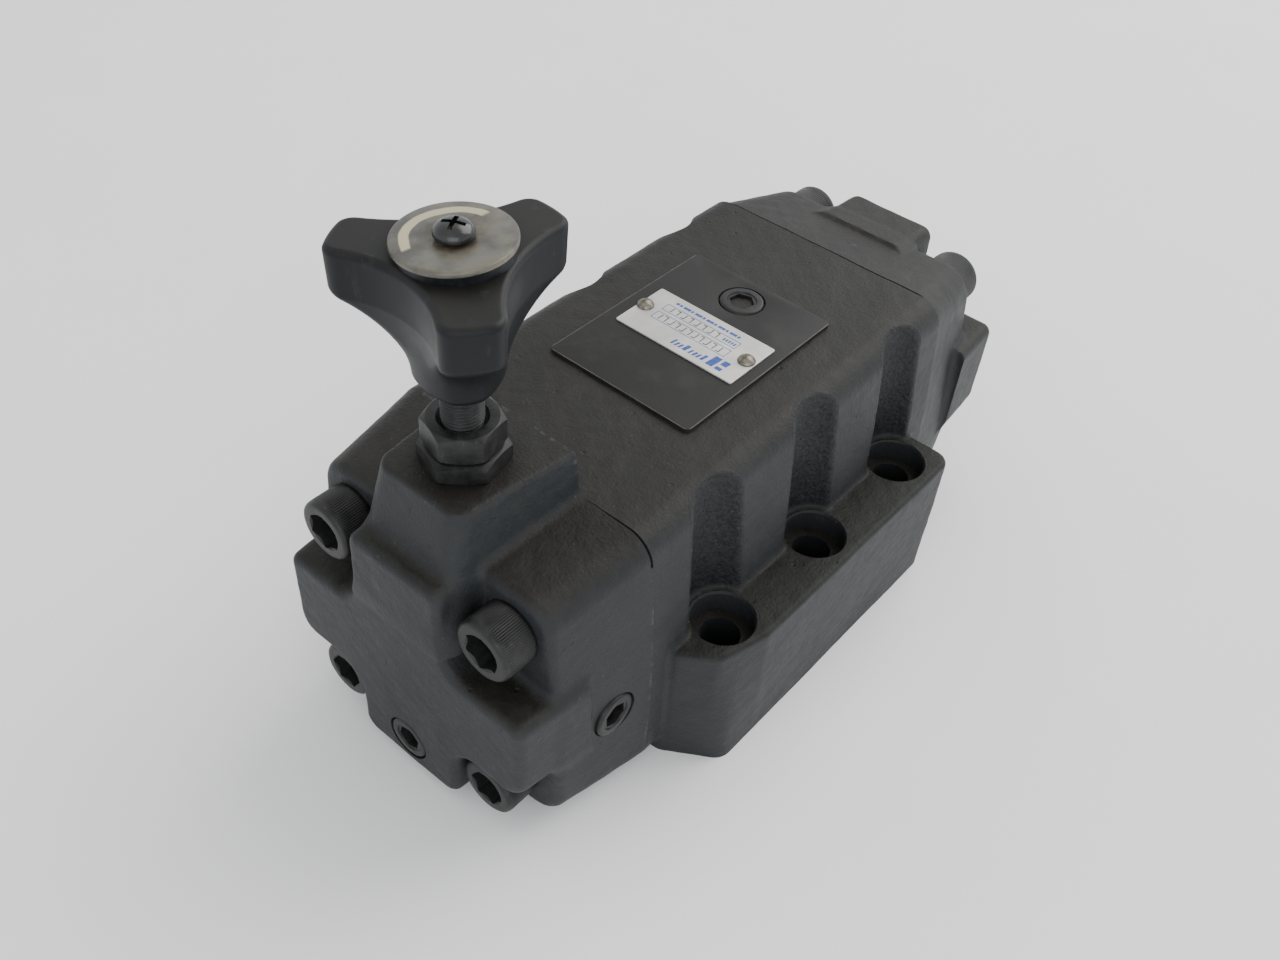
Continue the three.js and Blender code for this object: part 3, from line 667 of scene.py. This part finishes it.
def stained_disc():
    """Aged silvery disc with a cream arc and brown stain round its screw."""
    s = Shader("stained_disc", Metallic=0.25, Specular_IOR_Level=0.5, Coat_Weight=0.2, Coat_Roughness=0.25)
    x, y, _ = s.xyz()
    squares = s.math("ADD", s.times(x, x), s.times(y, y))
    wobble = s.times(s.math("SUBTRACT", s.noise(9, 2), 0.5), 0.0014)
    radius = s.math("ADD", s.math("SQRT", squares), wobble)
    ring = s.times(s.ramp(radius, 8.6 * MM, 8.9 * MM), s.ramp(radius, 10.9 * MM, 10.6 * MM))
    left = s.math("SUBTRACT", s.times(y, 0.12), s.times(x, 0.99))
    arc = s.times(ring, s.ramp(left, 1.8 * MM, 2.6 * MM))
    patch = s.ramp(s.noise(8, 3, 0.6), 0.40, 0.60)
    colour = s.mix(patch, (0.062, 0.059, 0.050, 1), (0.135, 0.124, 0.096, 1))
    cloud = s.ramp(s.noise(3.2, 4, 0.65), 0.5, 0.72)
    colour = s.mix(s.times(cloud, 0.5), colour, (0.125, 0.125, 0.130, 1))
    colour = s.mix(s.times(arc, 0.9), colour, (0.50, 0.45, 0.29, 1))
    stain = s.times(s.ramp(radius, 7.6 * MM, 4.4 * MM), s.ramp(s.noise(2.5, 5, 0.7), 0.36, 0.6))
    colour = s.mix(s.times(stain, 0.85), colour, (0.060, 0.042, 0.022, 1))
    rim = s.times(s.ramp(radius, 12.0 * MM, 12.9 * MM), s.ramp(s.noise(3, 5, 0.7), 0.4, 0.6))
    colour = s.mix(s.times(rim, 0.6), colour, (0.08, 0.065, 0.045, 1))
    roughness = s.ramp(s.noise(2, 4), 0.35, 0.65, 0.28, 0.45)
    normal = s.bump(s.noise(6, 4, 0.6), 0.12)
    return s.finish(colour, roughness, normal)


# SOCKET_SHADE is painted shade for the inside of the hexagon sockets
SOCKET_SHADE = socket_shade()
GLOSSY = glossy_black()
CAST = cast_paint()
PAD_PAINT = machined_paint()
BLACK = black_steel()
BRIGHT = bright_steel()
RIVET = aged_rivet()
GROUND = ground_steel()
RUBBER = rubber()
KNOB = knob_plastic()
PLATE = plate_aluminium()
DISC = stained_disc()
SPRING = spring_steel()
IRON = machined_iron()
BLUE_INK = ink("blue_ink", (0.015, 0.055, 0.30, 1))
GREY_INK = ink("grey_ink", (0.055, 0.055, 0.06, 1))


def finish_piece(piece, looks, body, slot, *nodes):
    """Material or tuple of materials, body, slot (not used) and replaced CAD nodes of a finished piece."""
    piece.data.materials.clear()
    for look in looks if isinstance(looks, tuple) else (looks,):
        piece.data.materials.append(look)
    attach(piece, body)
    if nodes:
        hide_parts(*nodes)


# ---- castings ------------------------------------------------------------------------------
def make_body():
    body = mesh_from_shape("body_casting", body_shape, (-64, -74, -6), (64, 70, 90), CAST_STEP)
    keep_inside(body, (-60.88, FRONT_JOINT, 0), (60.88, REAR_JOINT, 95))
    drill(body, "y", (0, 0, BORE_Z), BORE_RADIUS, FRONT_JOINT - 1, REAR_JOINT + 1)
    foot, mouth = BOLT_HOLE + 0.7, SPOTFACE + 0.55
    bolt_hole = [(0, -1), (foot, -1), (foot, 0), (BOLT_HOLE, 0.7), (BOLT_HOLE, SPOTFACE_Z),
                 (SPOTFACE, SPOTFACE_Z), (SPOTFACE, FLANGE_TOP - 0.5), (mouth, FLANGE_TOP + 0.1),
                 (mouth, FLANGE_TOP + 1), (0, FLANGE_TOP + 1)]
    for side in (-1, 1):
        drill(body, "y", (0, 0, BORE_Z), GALLERY_RADIUS, side * 26 - 10, side * 26 + 10)
        drill(body, "z", (0, side * PORT_Y, 0), PORT_RADIUS, -1, BORE_Z)
        drill(body, "z", (0, side * PORT_Y, 0), 15.2, -1, RING_GROOVE)
        for row in (-1, 0, 1):
            cut_round(body, "z", (side * BOLT_X, row * BOLT_Y, 0), bolt_hole)
    drill(body, "z", (DRAIN_X, 0, 0), DRAIN_RADIUS, -1, BORE_Z)
    drill(body, "z", (DRAIN_X, 0, 0), DRAIN_RADIUS + 3, -1, RING_GROOVE)
    smooth(body)
    finish_piece(body, CAST, "housing", "cast_body", "valve_body")
    bare_machined_faces(body)


def bare_machined_faces(body):
    """Unpainted iron on the mounting face and inside the main bore."""
    body.data.materials.append(IRON)
    for face in body.data.polygons:
        centre = face.center / MM
        in_bore = math.hypot(centre.x, centre.z - BORE_Z) < GALLERY_RADIUS + 0.2
        if in_bore or centre.z < 0.01 and face.normal.z < -0.9:
            face.material_index = 1


def make_pad():
    """Raised machined pad on top, with the hole of the gauge port."""
    outline = round_rectangle(-23.9, -32.1, 23.9, 31.4, 1.6)
    pad = add_object("top_pad", prism_mesh("top_pad", outline, BODY_TOP - 1.2, PAD_TOP))
    drill(pad, "z", (0, GAUGE_PORT_Y, 0), PLUG_RADIUS, BODY_TOP - 2, BODY_TOP + 2, 96)
    bevel(pad, 0.28, 3, 40)
    smooth(pad, 50)
    finish_piece(pad, PAD_PAINT, "housing", "cast_body")


def make_cover(name, shape, low, high, joint, seat, toward):
    """Casting with its screw holes; toward is the direction of Y from the body to the cover."""
    cover = mesh_from_shape(name, shape, low, high, CAST_STEP)
    ends = sorted((joint + toward * 0.05, joint + toward * 43.2))
    keep_inside(cover, (-70, ends[0], 0.1), (70, ends[1], 110))
    for x, z in SCREWS:
        drill(cover, "y", (x, 0, z), SCREW_POCKET, seat, seat + toward * 14)
        drill(cover, "y", (x, 0, z), SCREW_HOLE, joint - toward, seat + toward)
    return cover


def finish_cover(cover, crack, floor, node):
    """Opens the joint with the body along a thin crack, down to a floor height."""
    combine(cover, prism_mesh("crack", crack, floor, 90), "DIFFERENCE")
    smooth(cover)
    finish_piece(cover, CAST, "housing", "cast_body", node)


def make_covers():
    front = make_cover("front_cover_casting", front_cover_shape, (-50, -114, -4), (50, -62, 102),
                       FRONT_JOINT, FRONT_SEAT, -1)
    drill(front, "z", (0, ADJUSTER_Y, 0), 8.25, 83, BOSS_TOP + 2)
    drill(front, "y", (0, 0, FRONT_PLUG_Z), PLUG_RADIUS, -112, -100)
    drill(front, "x", (0, SIDE_PLUG_Y, SIDE_PLUG_Z), PLUG_RADIUS, 34, 52)
    crack = [(19, FRONT_JOINT - 0.05), (44, FRONT_JOINT - 0.75), (44, FRONT_JOINT + 1),
             (19, FRONT_JOINT + 1)]
    finish_cover(front, crack, 78, "front_cover")
    rear = make_cover("rear_cover_casting", rear_cover_shape, (-50, 58, -4), (50, 109, 90),
                      REAR_JOINT, REAR_SEAT, 1)
    crack = [(-39, REAR_JOINT - 1), (40.5, REAR_JOINT - 1), (40.5, REAR_JOINT + 0.85),
             (-39, REAR_JOINT + 0.4)]
    finish_cover(rear, crack, 81, "rear_cover")


# ---- fasteners and plugs -------------------------------------------------------------------
def turned_piece(name, profile, segments=96):
    return add_object(name, lathe_mesh(name, profile, segments))


def hex_socket(piece, flats, rim, depth):
    """Hexagon socket with a broken mouth and a conical floor."""
    corner = flats / math.sqrt(3)
    combine(piece, prism_mesh("socket", hexagon(flats), rim - depth, rim + 1), "DIFFERENCE")
    cut_round(piece, "z", (0, 0, 0), [
        (0, rim - depth - 1.2), (corner - 0.7, rim - depth + 0.05), (corner - 0.75, rim - 0.5),
        (corner + 0.4, rim + 0.6), (0, rim + 0.6)])


def knurled_head(name, radius, height, teeth=84):
    """Straight-knurled screw head whose edges are rounded."""
    per_tooth = 4
    count = teeth * per_tooth
    rounding = [(1.0, 0), (0.25, 0.12), (0, 0.7), (0, 1.1), (0, height - 2.4), (0.02, height - 1.7),
                (0.1, height - 1.0), (0.38, height - 0.42), (0.85, height - 0.1), (1.5, height)]
    ribbed = (3, 4, 5)
    points, rings = [(0, 0, 0)], [range(1)]
    for k, (less, z) in enumerate(rounding):
        rings.append(range(len(points), len(points) + count))
        for i in range(count):
            notch = 0.17 if k in ribbed and i % per_tooth == 0 else 0.0
            points.append(polar(radius - less - notch, i / count, z))
    rings.append(range(len(points), len(points) + 1))
    points.append((0, 0, height * MM))
    faces = []
    for lower, upper in zip(rings, rings[1:]):
        faces += band_faces(lower, upper, count)
    return to_mesh(name, points, faces)


def thread_mesh(name, low, high, radius, pitch, segments=40):
    """Closed rod with a helical thread and chamfered ends."""
    depth = 0.45 * pitch
    levels = int((high - low) / pitch * 8)
    points, rings = [], []
    for k in range(levels + 1):
        z = low + (high - low) * k / levels
        ease = min(1.0, (z - low) / (0.8 * pitch), (high - z) / (0.8 * pitch))
        rings.append(range(len(points), len(points) + segments))
        for i in range(segments):
            phase = (z / pitch - i / segments) % 1.0
            groove = max(0.0, 1 - abs(phase - 0.5) / 0.42)
            points.append(polar(radius - depth * groove - 0.6 * (1 - ease), i / segments, z))
    faces = [list(rings[0])[::-1], list(rings[-1])]
    for lower, upper in zip(rings, rings[1:]):
        faces += band_faces(lower, upper, segments)
    return to_mesh(name, points, faces)


def cap_screw_mesh():
    screw = add_object("cap_screw", knurled_head("cap_screw", 8.3, 10))
    shank = [(0, -46), (3.9, -46), (4.9, -45), (4.9, 0.2), (0, 0.2)]
    combine(screw, lathe_mesh("shank", shank, 48), "UNION")
    hex_socket(screw, 9.4, 10, 5.6)
    smooth(screw, 34)
    paint_socket_shade(screw, 5.3, 9.6)
    mesh = screw.data
    bpy.data.objects.remove(screw)
    return mesh


def paint_socket_shade(piece, radius, below):
    """Gives the faces inside a socket, within radius of Z and below a height, the second material, which is
    the painted socket shade.
    """
    piece.data.materials.append(None)
    piece.data.materials.append(None)
    for face in piece.data.polygons:
        x, y, z = face.center / MM
        if math.hypot(x, y) < radius and below - 7 < z < below and face.normal.z > -0.5:
            face.material_index = 1


def place_along(piece, direction, place, spin=0.0):
    """Turns a piece made along +Z to point along another direction."""
    turn = Vector(direction).to_track_quat("Z", "Y").to_matrix().to_4x4()
    piece.matrix_world = Matrix.Translation(Vector(place) * MM) @ turn @ Matrix.Rotation(spin, 4, "Z")


def make_cap_screws():
    shared = cap_screw_mesh()
    for prefix, seat, facing in (("front", FRONT_SEAT, -1), ("rear", REAR_SEAT, 1)):
        for number, (x, z) in enumerate(SCREWS, 1):
            node = screw_at(prefix, x, z)
            screw = add_object(f"{node}_fine", shared)
            place_along(screw, (0, facing, 0), (x, seat + facing * 0.1, z), 0.5 * number)
            finish_piece(screw, (BLACK, SOCKET_SHADE), "housing", "black_steel", node)


def screw_at(prefix, x, z):
    """Name of the CAD cover screw whose centre lies at x, z."""
    def miss(node):
        low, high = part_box(node)
        return abs((low[0] + high[0]) / 2 / MM - x) + abs((low[2] + high[2]) / 2 / MM - z)
    return min((f"{prefix}_cover_screw_{i}" for i in (1, 2, 3, 4)), key=miss)


def make_plug(node, direction, place, spin):
    """Plug whose outer face is centred on place."""
    profile = [(0, -9), (5.3, -9), (6.4, -8), (6.4, -0.75), (6.25, -0.35), (5.95, -0.08), (5.6, 0), (0, 0)]
    plug = turned_piece(f"{node}_fine", profile)
    hex_socket(plug, 6.4, 0, 4.2)
    cut_round(plug, "z", (0, 0, 0), [(0, -0.35), (4.1, -0.35), (4.5, 0.3), (0, 0.3)])
    smooth(plug, 34)
    paint_socket_shade(plug, 3.6, -0.5)
    place_along(plug, direction, place, spin)
    finish_piece(plug, (BLACK, SOCKET_SHADE), "housing", "black_steel", node)


def make_plugs():
    make_plug("gauge_port_plug", (0, 0, 1), (0, GAUGE_PORT_Y, PAD_TOP + 0.3), 0.35)
    make_plug("front_passage_plug", (0, -1, 0), (0, -109.8, FRONT_PLUG_Z), 0.3)
    make_plug("side_passage_plug", (1, 0, 0), (44.9, SIDE_PLUG_Y, SIDE_PLUG_Z), 0.6)


# ---- nameplate -----------------------------------------------------------------------------
def print_on_plate(name, shapes, material, lift=0.035):
    """Thin raised print: shapes are outlines of (x, y) points on the plate."""
    base = PLATE_Z + PLATE_THICKNESS
    points, faces = [], []
    for outline in shapes:
        more_points, more_faces = prism(outline, base - 0.1, base + lift, len(points))
        points += more_points
        faces += more_faces
    printed = add_object(name, to_mesh(name, points, faces))
    finish_piece(printed, material, "housing", "plate_aluminium")


def bar(x, y, width, height, slant=0.0):
    return [(x, y), (x + width, y), (x + width + slant, y + height), (x + slant, y + height)]


def frame_bars(x, y, width, height, line=0.16):
    """Four bars round a rectangle."""
    inner = height - 2 * line
    return [bar(x, y, width, line), bar(x, y + height - line, width, line),
            bar(x, y + line, line, inner), bar(x + width - line, y + line, line, inner)]


def make_nameplate():
    """Plate of 40 x 20 mm with meaningless bars for its print, held by two rivets."""
    outline = round_rectangle(PLATE_X - 20, PLATE_Y - 10, PLATE_X + 20, PLATE_Y + 10, 0.6)
    plate_mesh = prism_mesh("nameplate_fine", outline, PLATE_Z, PLATE_Z + PLATE_THICKNESS)
    plate = add_object("nameplate_fine", plate_mesh)
    bevel(plate, 0.12, 3, 40)
    smooth(plate, 50)
    finish_piece(plate, PLATE, "housing", "plate_aluminium", "nameplate")
    mark = [bar(10.2, -8.3, 2.2, 4.6, 0.5), bar(13.2, -8.3, 2.0, 1.3, 0.15), bar(13.5, -5.9, 2.0, 2.2, 0.2)]
    word = [bar(x, -8.0, width, height, 0.45) for x, width, height in (
        (8.0, 0.9, 2.6), (6.6, 0.7, 1.8), (5.3, 0.8, 1.8), (4.0, 0.6, 1.8), (1.9, 1.2, 2.6),
        (0.5, 0.7, 1.8), (-0.8, 0.7, 1.8), (-2.1, 0.7, 2.4))]
    boxes = frame_bars(-13.4, -2.7, 25.6, 3.6) + frame_bars(-13.4, 2.1, 25.6, 3.2)
    small = [bar(9.6 - 1.35 * i, 6.6, 0.75 + 0.25 * (i % 3), 0.95, 0.12) for i in range(17)]
    label = [bar(10.9 - 0.9 * i, 3.0, 0.5, 1.2, 0.08) for i in range(5)]
    print_on_plate("plate_print_blue", mark + word + boxes + small + label, BLUE_INK)
    stamped = [bar(9.6 - 2.1 * i, -2.1, 0.34, 2.5, 0.1 * (i % 3)) for i in range(11)]
    stamped += [bar(8.7 - 2.1 * i, -2.1 + 2.2 * (i % 2), 0.95, 0.34) for i in range(10)]
    stamped += [bar(5.2 - 2.3 * i, 2.6, 0.34, 2.3, 0.12 * (i % 2)) for i in range(8)]
    stamped += [bar(4.4 - 2.3 * i, 2.6 + 1.9 * ((i + 1) % 2), 0.9, 0.34) for i in range(7)]
    print_on_plate("plate_stamped_marks", stamped, GREY_INK, 0.02)
    for number, side in ((1, -1), (2, 1)):
        dome = [(0, 0), (2.5, 0), (2.52, 0.12), (2.4, 0.42), (2.1, 0.85), (1.65, 1.25), (1.1, 1.52),
                (0.5, 1.66), (0, 1.7)]
        rivet = turned_piece(f"nameplate_rivet_{number}_fine", dome, 48)
        smooth(rivet, 50)
        rivet.location = Vector((side * 17.7, 0.3, PLATE_Z + PLATE_THICKNESS + 0.02)) * MM
        finish_piece(rivet, RIVET, "housing", "ground_steel", f"nameplate_rivet_{number}")


# ---- adjuster ------------------------------------------------------------------------------
def hex_nut(name, flats, low, high, profile):
    """Hexagon cut from a bevelled turned blank, with a hole for the stud."""
    nut = turned_piece(name, profile)
    combine(nut, prism_mesh("flats", hexagon(flats, NUT_TURN), low - 1, high + 1), "INTERSECT")
    drill(nut, "z", (0, 0, 0), NUT_HOLE, low - 1, high + 1)
    return nut


def make_retainer():
    seat, top = BOSS_TOP, BOSS_TOP + 4.8
    profile = [(0, seat + 0.05), (9.6, seat + 0.05), (11.2, seat + 0.6), (11.2, top - 1.15),
               (9.3, top - 0.1), (9.0, top), (0, top)]
    nut = hex_nut("retainer_fine", 19, seat, top, profile)
    shank = [(0, seat - 14), (6.9, seat - 14), (7.9, seat - 13), (7.9, seat + 0.6), (0, seat + 0.6)]
    combine(nut, lathe_mesh("shank", shank), "UNION")
    drill(nut, "z", (0, 0, 0), NUT_HOLE, seat - 15, top + 1)
    drill(nut, "z", (0, 0, 0), 7, seat - 15, seat - 2)
    bevel(nut, 0.18, 2, 28)
    smooth(nut, 34)
    nut.location = (0, ADJUSTER_Y * MM, 0)
    finish_piece(nut, BLACK, "housing", "black_steel", "retainer")


def make_lock_nut():
    height = 7.2
    profile = [(0, 0), (8.3, 0), (8.9, 0.25), (10, 0.95), (10, height - 1.1), (8.6, height - 0.2),
               (8.3, height), (0, height)]
    nut = hex_nut("lock_nut_fine", 17, 0, height, profile)
    mouth = [(0, height - 0.9), (5.3, height - 0.9), (6.0, height - 0.15), (6.1, height + 0.3),
             (0, height + 0.3)]
    cut_round(nut, "z", (0, 0, 0), mouth)
    bevel(nut, 0.2, 2, 28)
    smooth(nut, 34)
    nut.location = Vector((0, ADJUSTER_Y, LOCK_NUT_Z)) * MM
    finish_piece(nut, BLACK, "lock_nut", "black_steel", "lock_nut")


def make_stud():
    name = "adjusting_screw_fine"
    stud = add_object(name, thread_mesh(name, 87.1, 150, 5, 1.0))
    drill(stud, "z", (0, 0, 0), 2.65, 138, 151, 32)
    smooth(stud, 30)
    stud.location = (0, ADJUSTER_Y * MM, 0)
    finish_piece(stud, BLACK, "adjuster", "black_steel", "adjusting_screw")


def make_knob():
    reach = KNOB_REACH + 3
    knob = mesh_from_shape("knob_fine", knob_shape, (-reach, ADJUSTER_Y - reach, KNOB_BOTTOM - 3),
                           (reach, ADJUSTER_Y + reach, KNOB_TOP + 3), KNOB_STEP)
    drill(knob, "z", (0, ADJUSTER_Y, 0), 5.15, KNOB_BOTTOM - 1, 150.3)
    drill(knob, "z", (0, ADJUSTER_Y, 0), 3, 149, KNOB_TOP + 1)
    smooth(knob, 40)
    finish_piece(knob, KNOB, "adjuster", "knob_plastic", "knob")


def make_disc():
    """Thin disc with a turned-down edge, slightly dished round its screw, and the filler below it."""
    profile = [(2.9, 0.15), (12.4, 0.15), (12.75, 0.0), (13.0, 0.12), (13.0, 0.85), (12.85, 1.08),
               (12.5, 1.2), (10.2, 1.16), (6, 1.0), (4.8, 0.86), (3.4, 0.8), (2.9, 0.78)]
    segments = 96
    points = [polar(r, i / segments, z) for r, z in profile for i in range(segments)]
    rings = [range(k * segments, (k + 1) * segments) for k in range(len(profile))]
    faces = []
    for lower, upper in zip(rings, rings[1:] + rings[:1]):
        faces += band_faces(lower, upper, segments)
    disc = add_object("knob_disc_fine", to_mesh("knob_disc_fine", points, faces))
    tilt = Matrix.Rotation(DISC_TILT * 0.65, 4, "X") @ Matrix.Rotation(-DISC_TILT * 0.76, 4, "Y")
    disc.matrix_world = Matrix.Translation(Vector((0, ADJUSTER_Y, DISC_Z)) * MM) @ tilt
    smooth(disc, 34)
    finish_piece(disc, DISC, "adjuster", "plate_aluminium", "knob_disc")
    boss = turned_piece("knob_disc_boss", [(0, -3.6), (12.3, -3.6), (12.5, -0.3), (12.2, 0.1), (0, 0.1)])
    boss.matrix_world = disc.matrix_world
    smooth(boss, 34)
    finish_piece(boss, KNOB, "adjuster", "knob_plastic")


def make_knob_screw():
    """Dome-headed screw with a cross slot."""
    top = 1.55
    head = [(2.4, 0), (4.15, 0), (4.3, 0.25), (4.25, 0.9), (3.95, 1.6), (3.3, 2.22), (2.4, 2.66),
            (1.2, 2.87), (0, 2.92)]
    profile = [(0, -13), (1.9, -13), (2.4, -12.4)] + [(r, top + z) for r, z in head]
    screw = turned_piece("knob_screw_fine", profile, 64)
    arm = [(-2.5, -0.5), (2.5, -0.5), (2.5, 0.5), (-2.5, 0.5)]
    for spin in (0.5, 0.5 + math.pi / 2):
        along, across = math.cos(spin), math.sin(spin)
        slot = [(x * along - y * across, x * across + y * along) for x, y in arm]
        combine(screw, prism_mesh("slot", slot, top + 1.3, top + 4), "DIFFERENCE")
    smooth(screw, 34)
    screw.location = Vector((0, ADJUSTER_Y, DISC_Z)) * MM
    finish_piece(screw, GLOSSY, "adjuster", "black_steel", "knob_screw")


# ---- seals and inner pieces ----------------------------------------------------------------
def make_ring(node, radius, section, centre, axis=(0, 0, 1)):
    """O-ring from the radius of its centre line and that of its section."""
    bpy.ops.mesh.primitive_torus_add(major_segments=96, minor_segments=20, major_radius=radius * MM,
                                     minor_radius=section * MM)
    ring = bpy.context.object
    ring.name = f"{node}_fine"
    smooth(ring, 60)
    place_along(ring, axis, centre)
    return ring


def make_seals():
    for node, x, y, radius in (("inlet_port_ring", 0, PORT_Y, 13.4), ("outlet_port_ring", 0, -PORT_Y, 13.4),
                               ("drain_port_ring", DRAIN_X, 0, 5)):
        finish_piece(make_ring(node, radius, 0.8, (x, y, 0.85)), RUBBER, "housing", "seal_rubber", node)
    for node, y in (("front_joint_ring", FRONT_JOINT + 0.97), ("rear_joint_ring", REAR_JOINT - 0.97)):
        ring = make_ring(node, 16, 0.9, (0, y, BORE_Z), (0, 1, 0))
        finish_piece(ring, RUBBER, "housing", "seal_rubber", node)
    ring = make_ring("retainer_ring", 8.78, 0.55, (0, ADJUSTER_Y, BOSS_TOP - 0.7))
    finish_piece(ring, RUBBER, "housing", "seal_rubber", "retainer_ring")


def finish_carried_nodes():
    """Materials of the CAD nodes that stay as they are."""
    looks = {
        "main_spool": GROUND, "spool_orifice": BRIGHT, "spring_seat": GROUND, "main_spring": SPRING,
        "pilot_seat": GROUND, "pilot_poppet": GROUND, "pilot_spring": SPRING, "spring_holder": GROUND,
        "spring_holder_ring": RUBBER,
    }
    for node, material in looks.items():
        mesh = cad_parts[node].data
        mesh.materials.clear()
        mesh.materials.append(material)


# ---- stage and camera ----------------------------------------------------------------------
def area_light(name, place, aim, size, energy, colour):
    light = bpy.data.lights.new(name, "AREA")
    light.shape = "RECTANGLE"
    light.size, light.size_y = size
    light.energy = energy
    light.color = colour
    lamp = add_object(name, light)
    lamp.location = place
    lamp.rotation_euler = (Vector(aim) - Vector(place)).to_track_quat("-Z", "Y").to_euler()


def make_stage():
    floor = add_object("floor", box_mesh((-2500, -2500, -6), (2500, 2500, 0)))
    s = Shader("pale_floor", Specular_IOR_Level=0.1)
    cloth = s.noise(60, 3)
    colour = s.mix(s.ramp(cloth, 0.3, 0.7), (0.90, 0.89, 0.885, 1), (0.92, 0.91, 0.905, 1))
    floor.data.materials.append(s.finish(colour, s.ramp(cloth, 0.3, 0.7, 0.8, 0.9)))
    bpy.context.scene.world = soft_room()
    area_light("window", (0.25, 1.15, 1.2), (0, 0, 0.05), (1.6, 1.4), 25, (1.0, 0.99, 0.97))
    area_light("fill", (0.9, -1.1, 0.7), (0, 0, 0.05), (1.4, 1.0), 8, (0.88, 0.94, 1.0))


def soft_room():
    """White room: bright and cool near the horizon, a little dimmer and warmer overhead."""
    world = bpy.data.worlds.new("soft_room")
    world.use_nodes = True
    tree = world.node_tree
    direction = tree.nodes.new("ShaderNodeTexCoord")
    parts = tree.nodes.new("ShaderNodeSeparateXYZ")
    tree.links.new(direction.outputs["Generated"], parts.inputs[0])
    blend = tree.nodes.new("ShaderNodeValToRGB")
    horizon, overhead = blend.color_ramp.elements
    horizon.color = (0.88, 0.94, 1.0, 1)
    overhead.color = (0.78, 0.775, 0.76, 1)
    overhead.position = 0.9
    tree.links.new(parts.outputs["Z"], blend.inputs[0])
    background = tree.nodes["Background"]
    tree.links.new(blend.outputs[0], background.inputs["Color"])
    background.inputs["Strength"].default_value = 1.30
    return world


def make_camera():
    lens = bpy.data.cameras.new("camera")
    lens.sensor_width = 36
    lens.lens = 35.37
    camera = add_object("camera", lens)
    place = Vector((157.9, -226.6, 294.5)) * MM
    target = Vector((0.4, -19.3, 45.0)) * MM
    aim = (target - place).to_track_quat("-Z", "Y").to_matrix().to_4x4()
    camera.matrix_world = Matrix.Translation(place) @ aim @ Matrix.Rotation(math.radians(4.8), 4, "Z")
    bpy.context.scene.camera = camera


make_camera()
make_stage()
make_body()
make_pad()
make_covers()
make_cap_screws()
make_plugs()
make_nameplate()
make_retainer()
make_lock_nut()
make_stud()
make_knob()
make_disc()
make_knob_screw()
make_seals()
finish_carried_nodes()
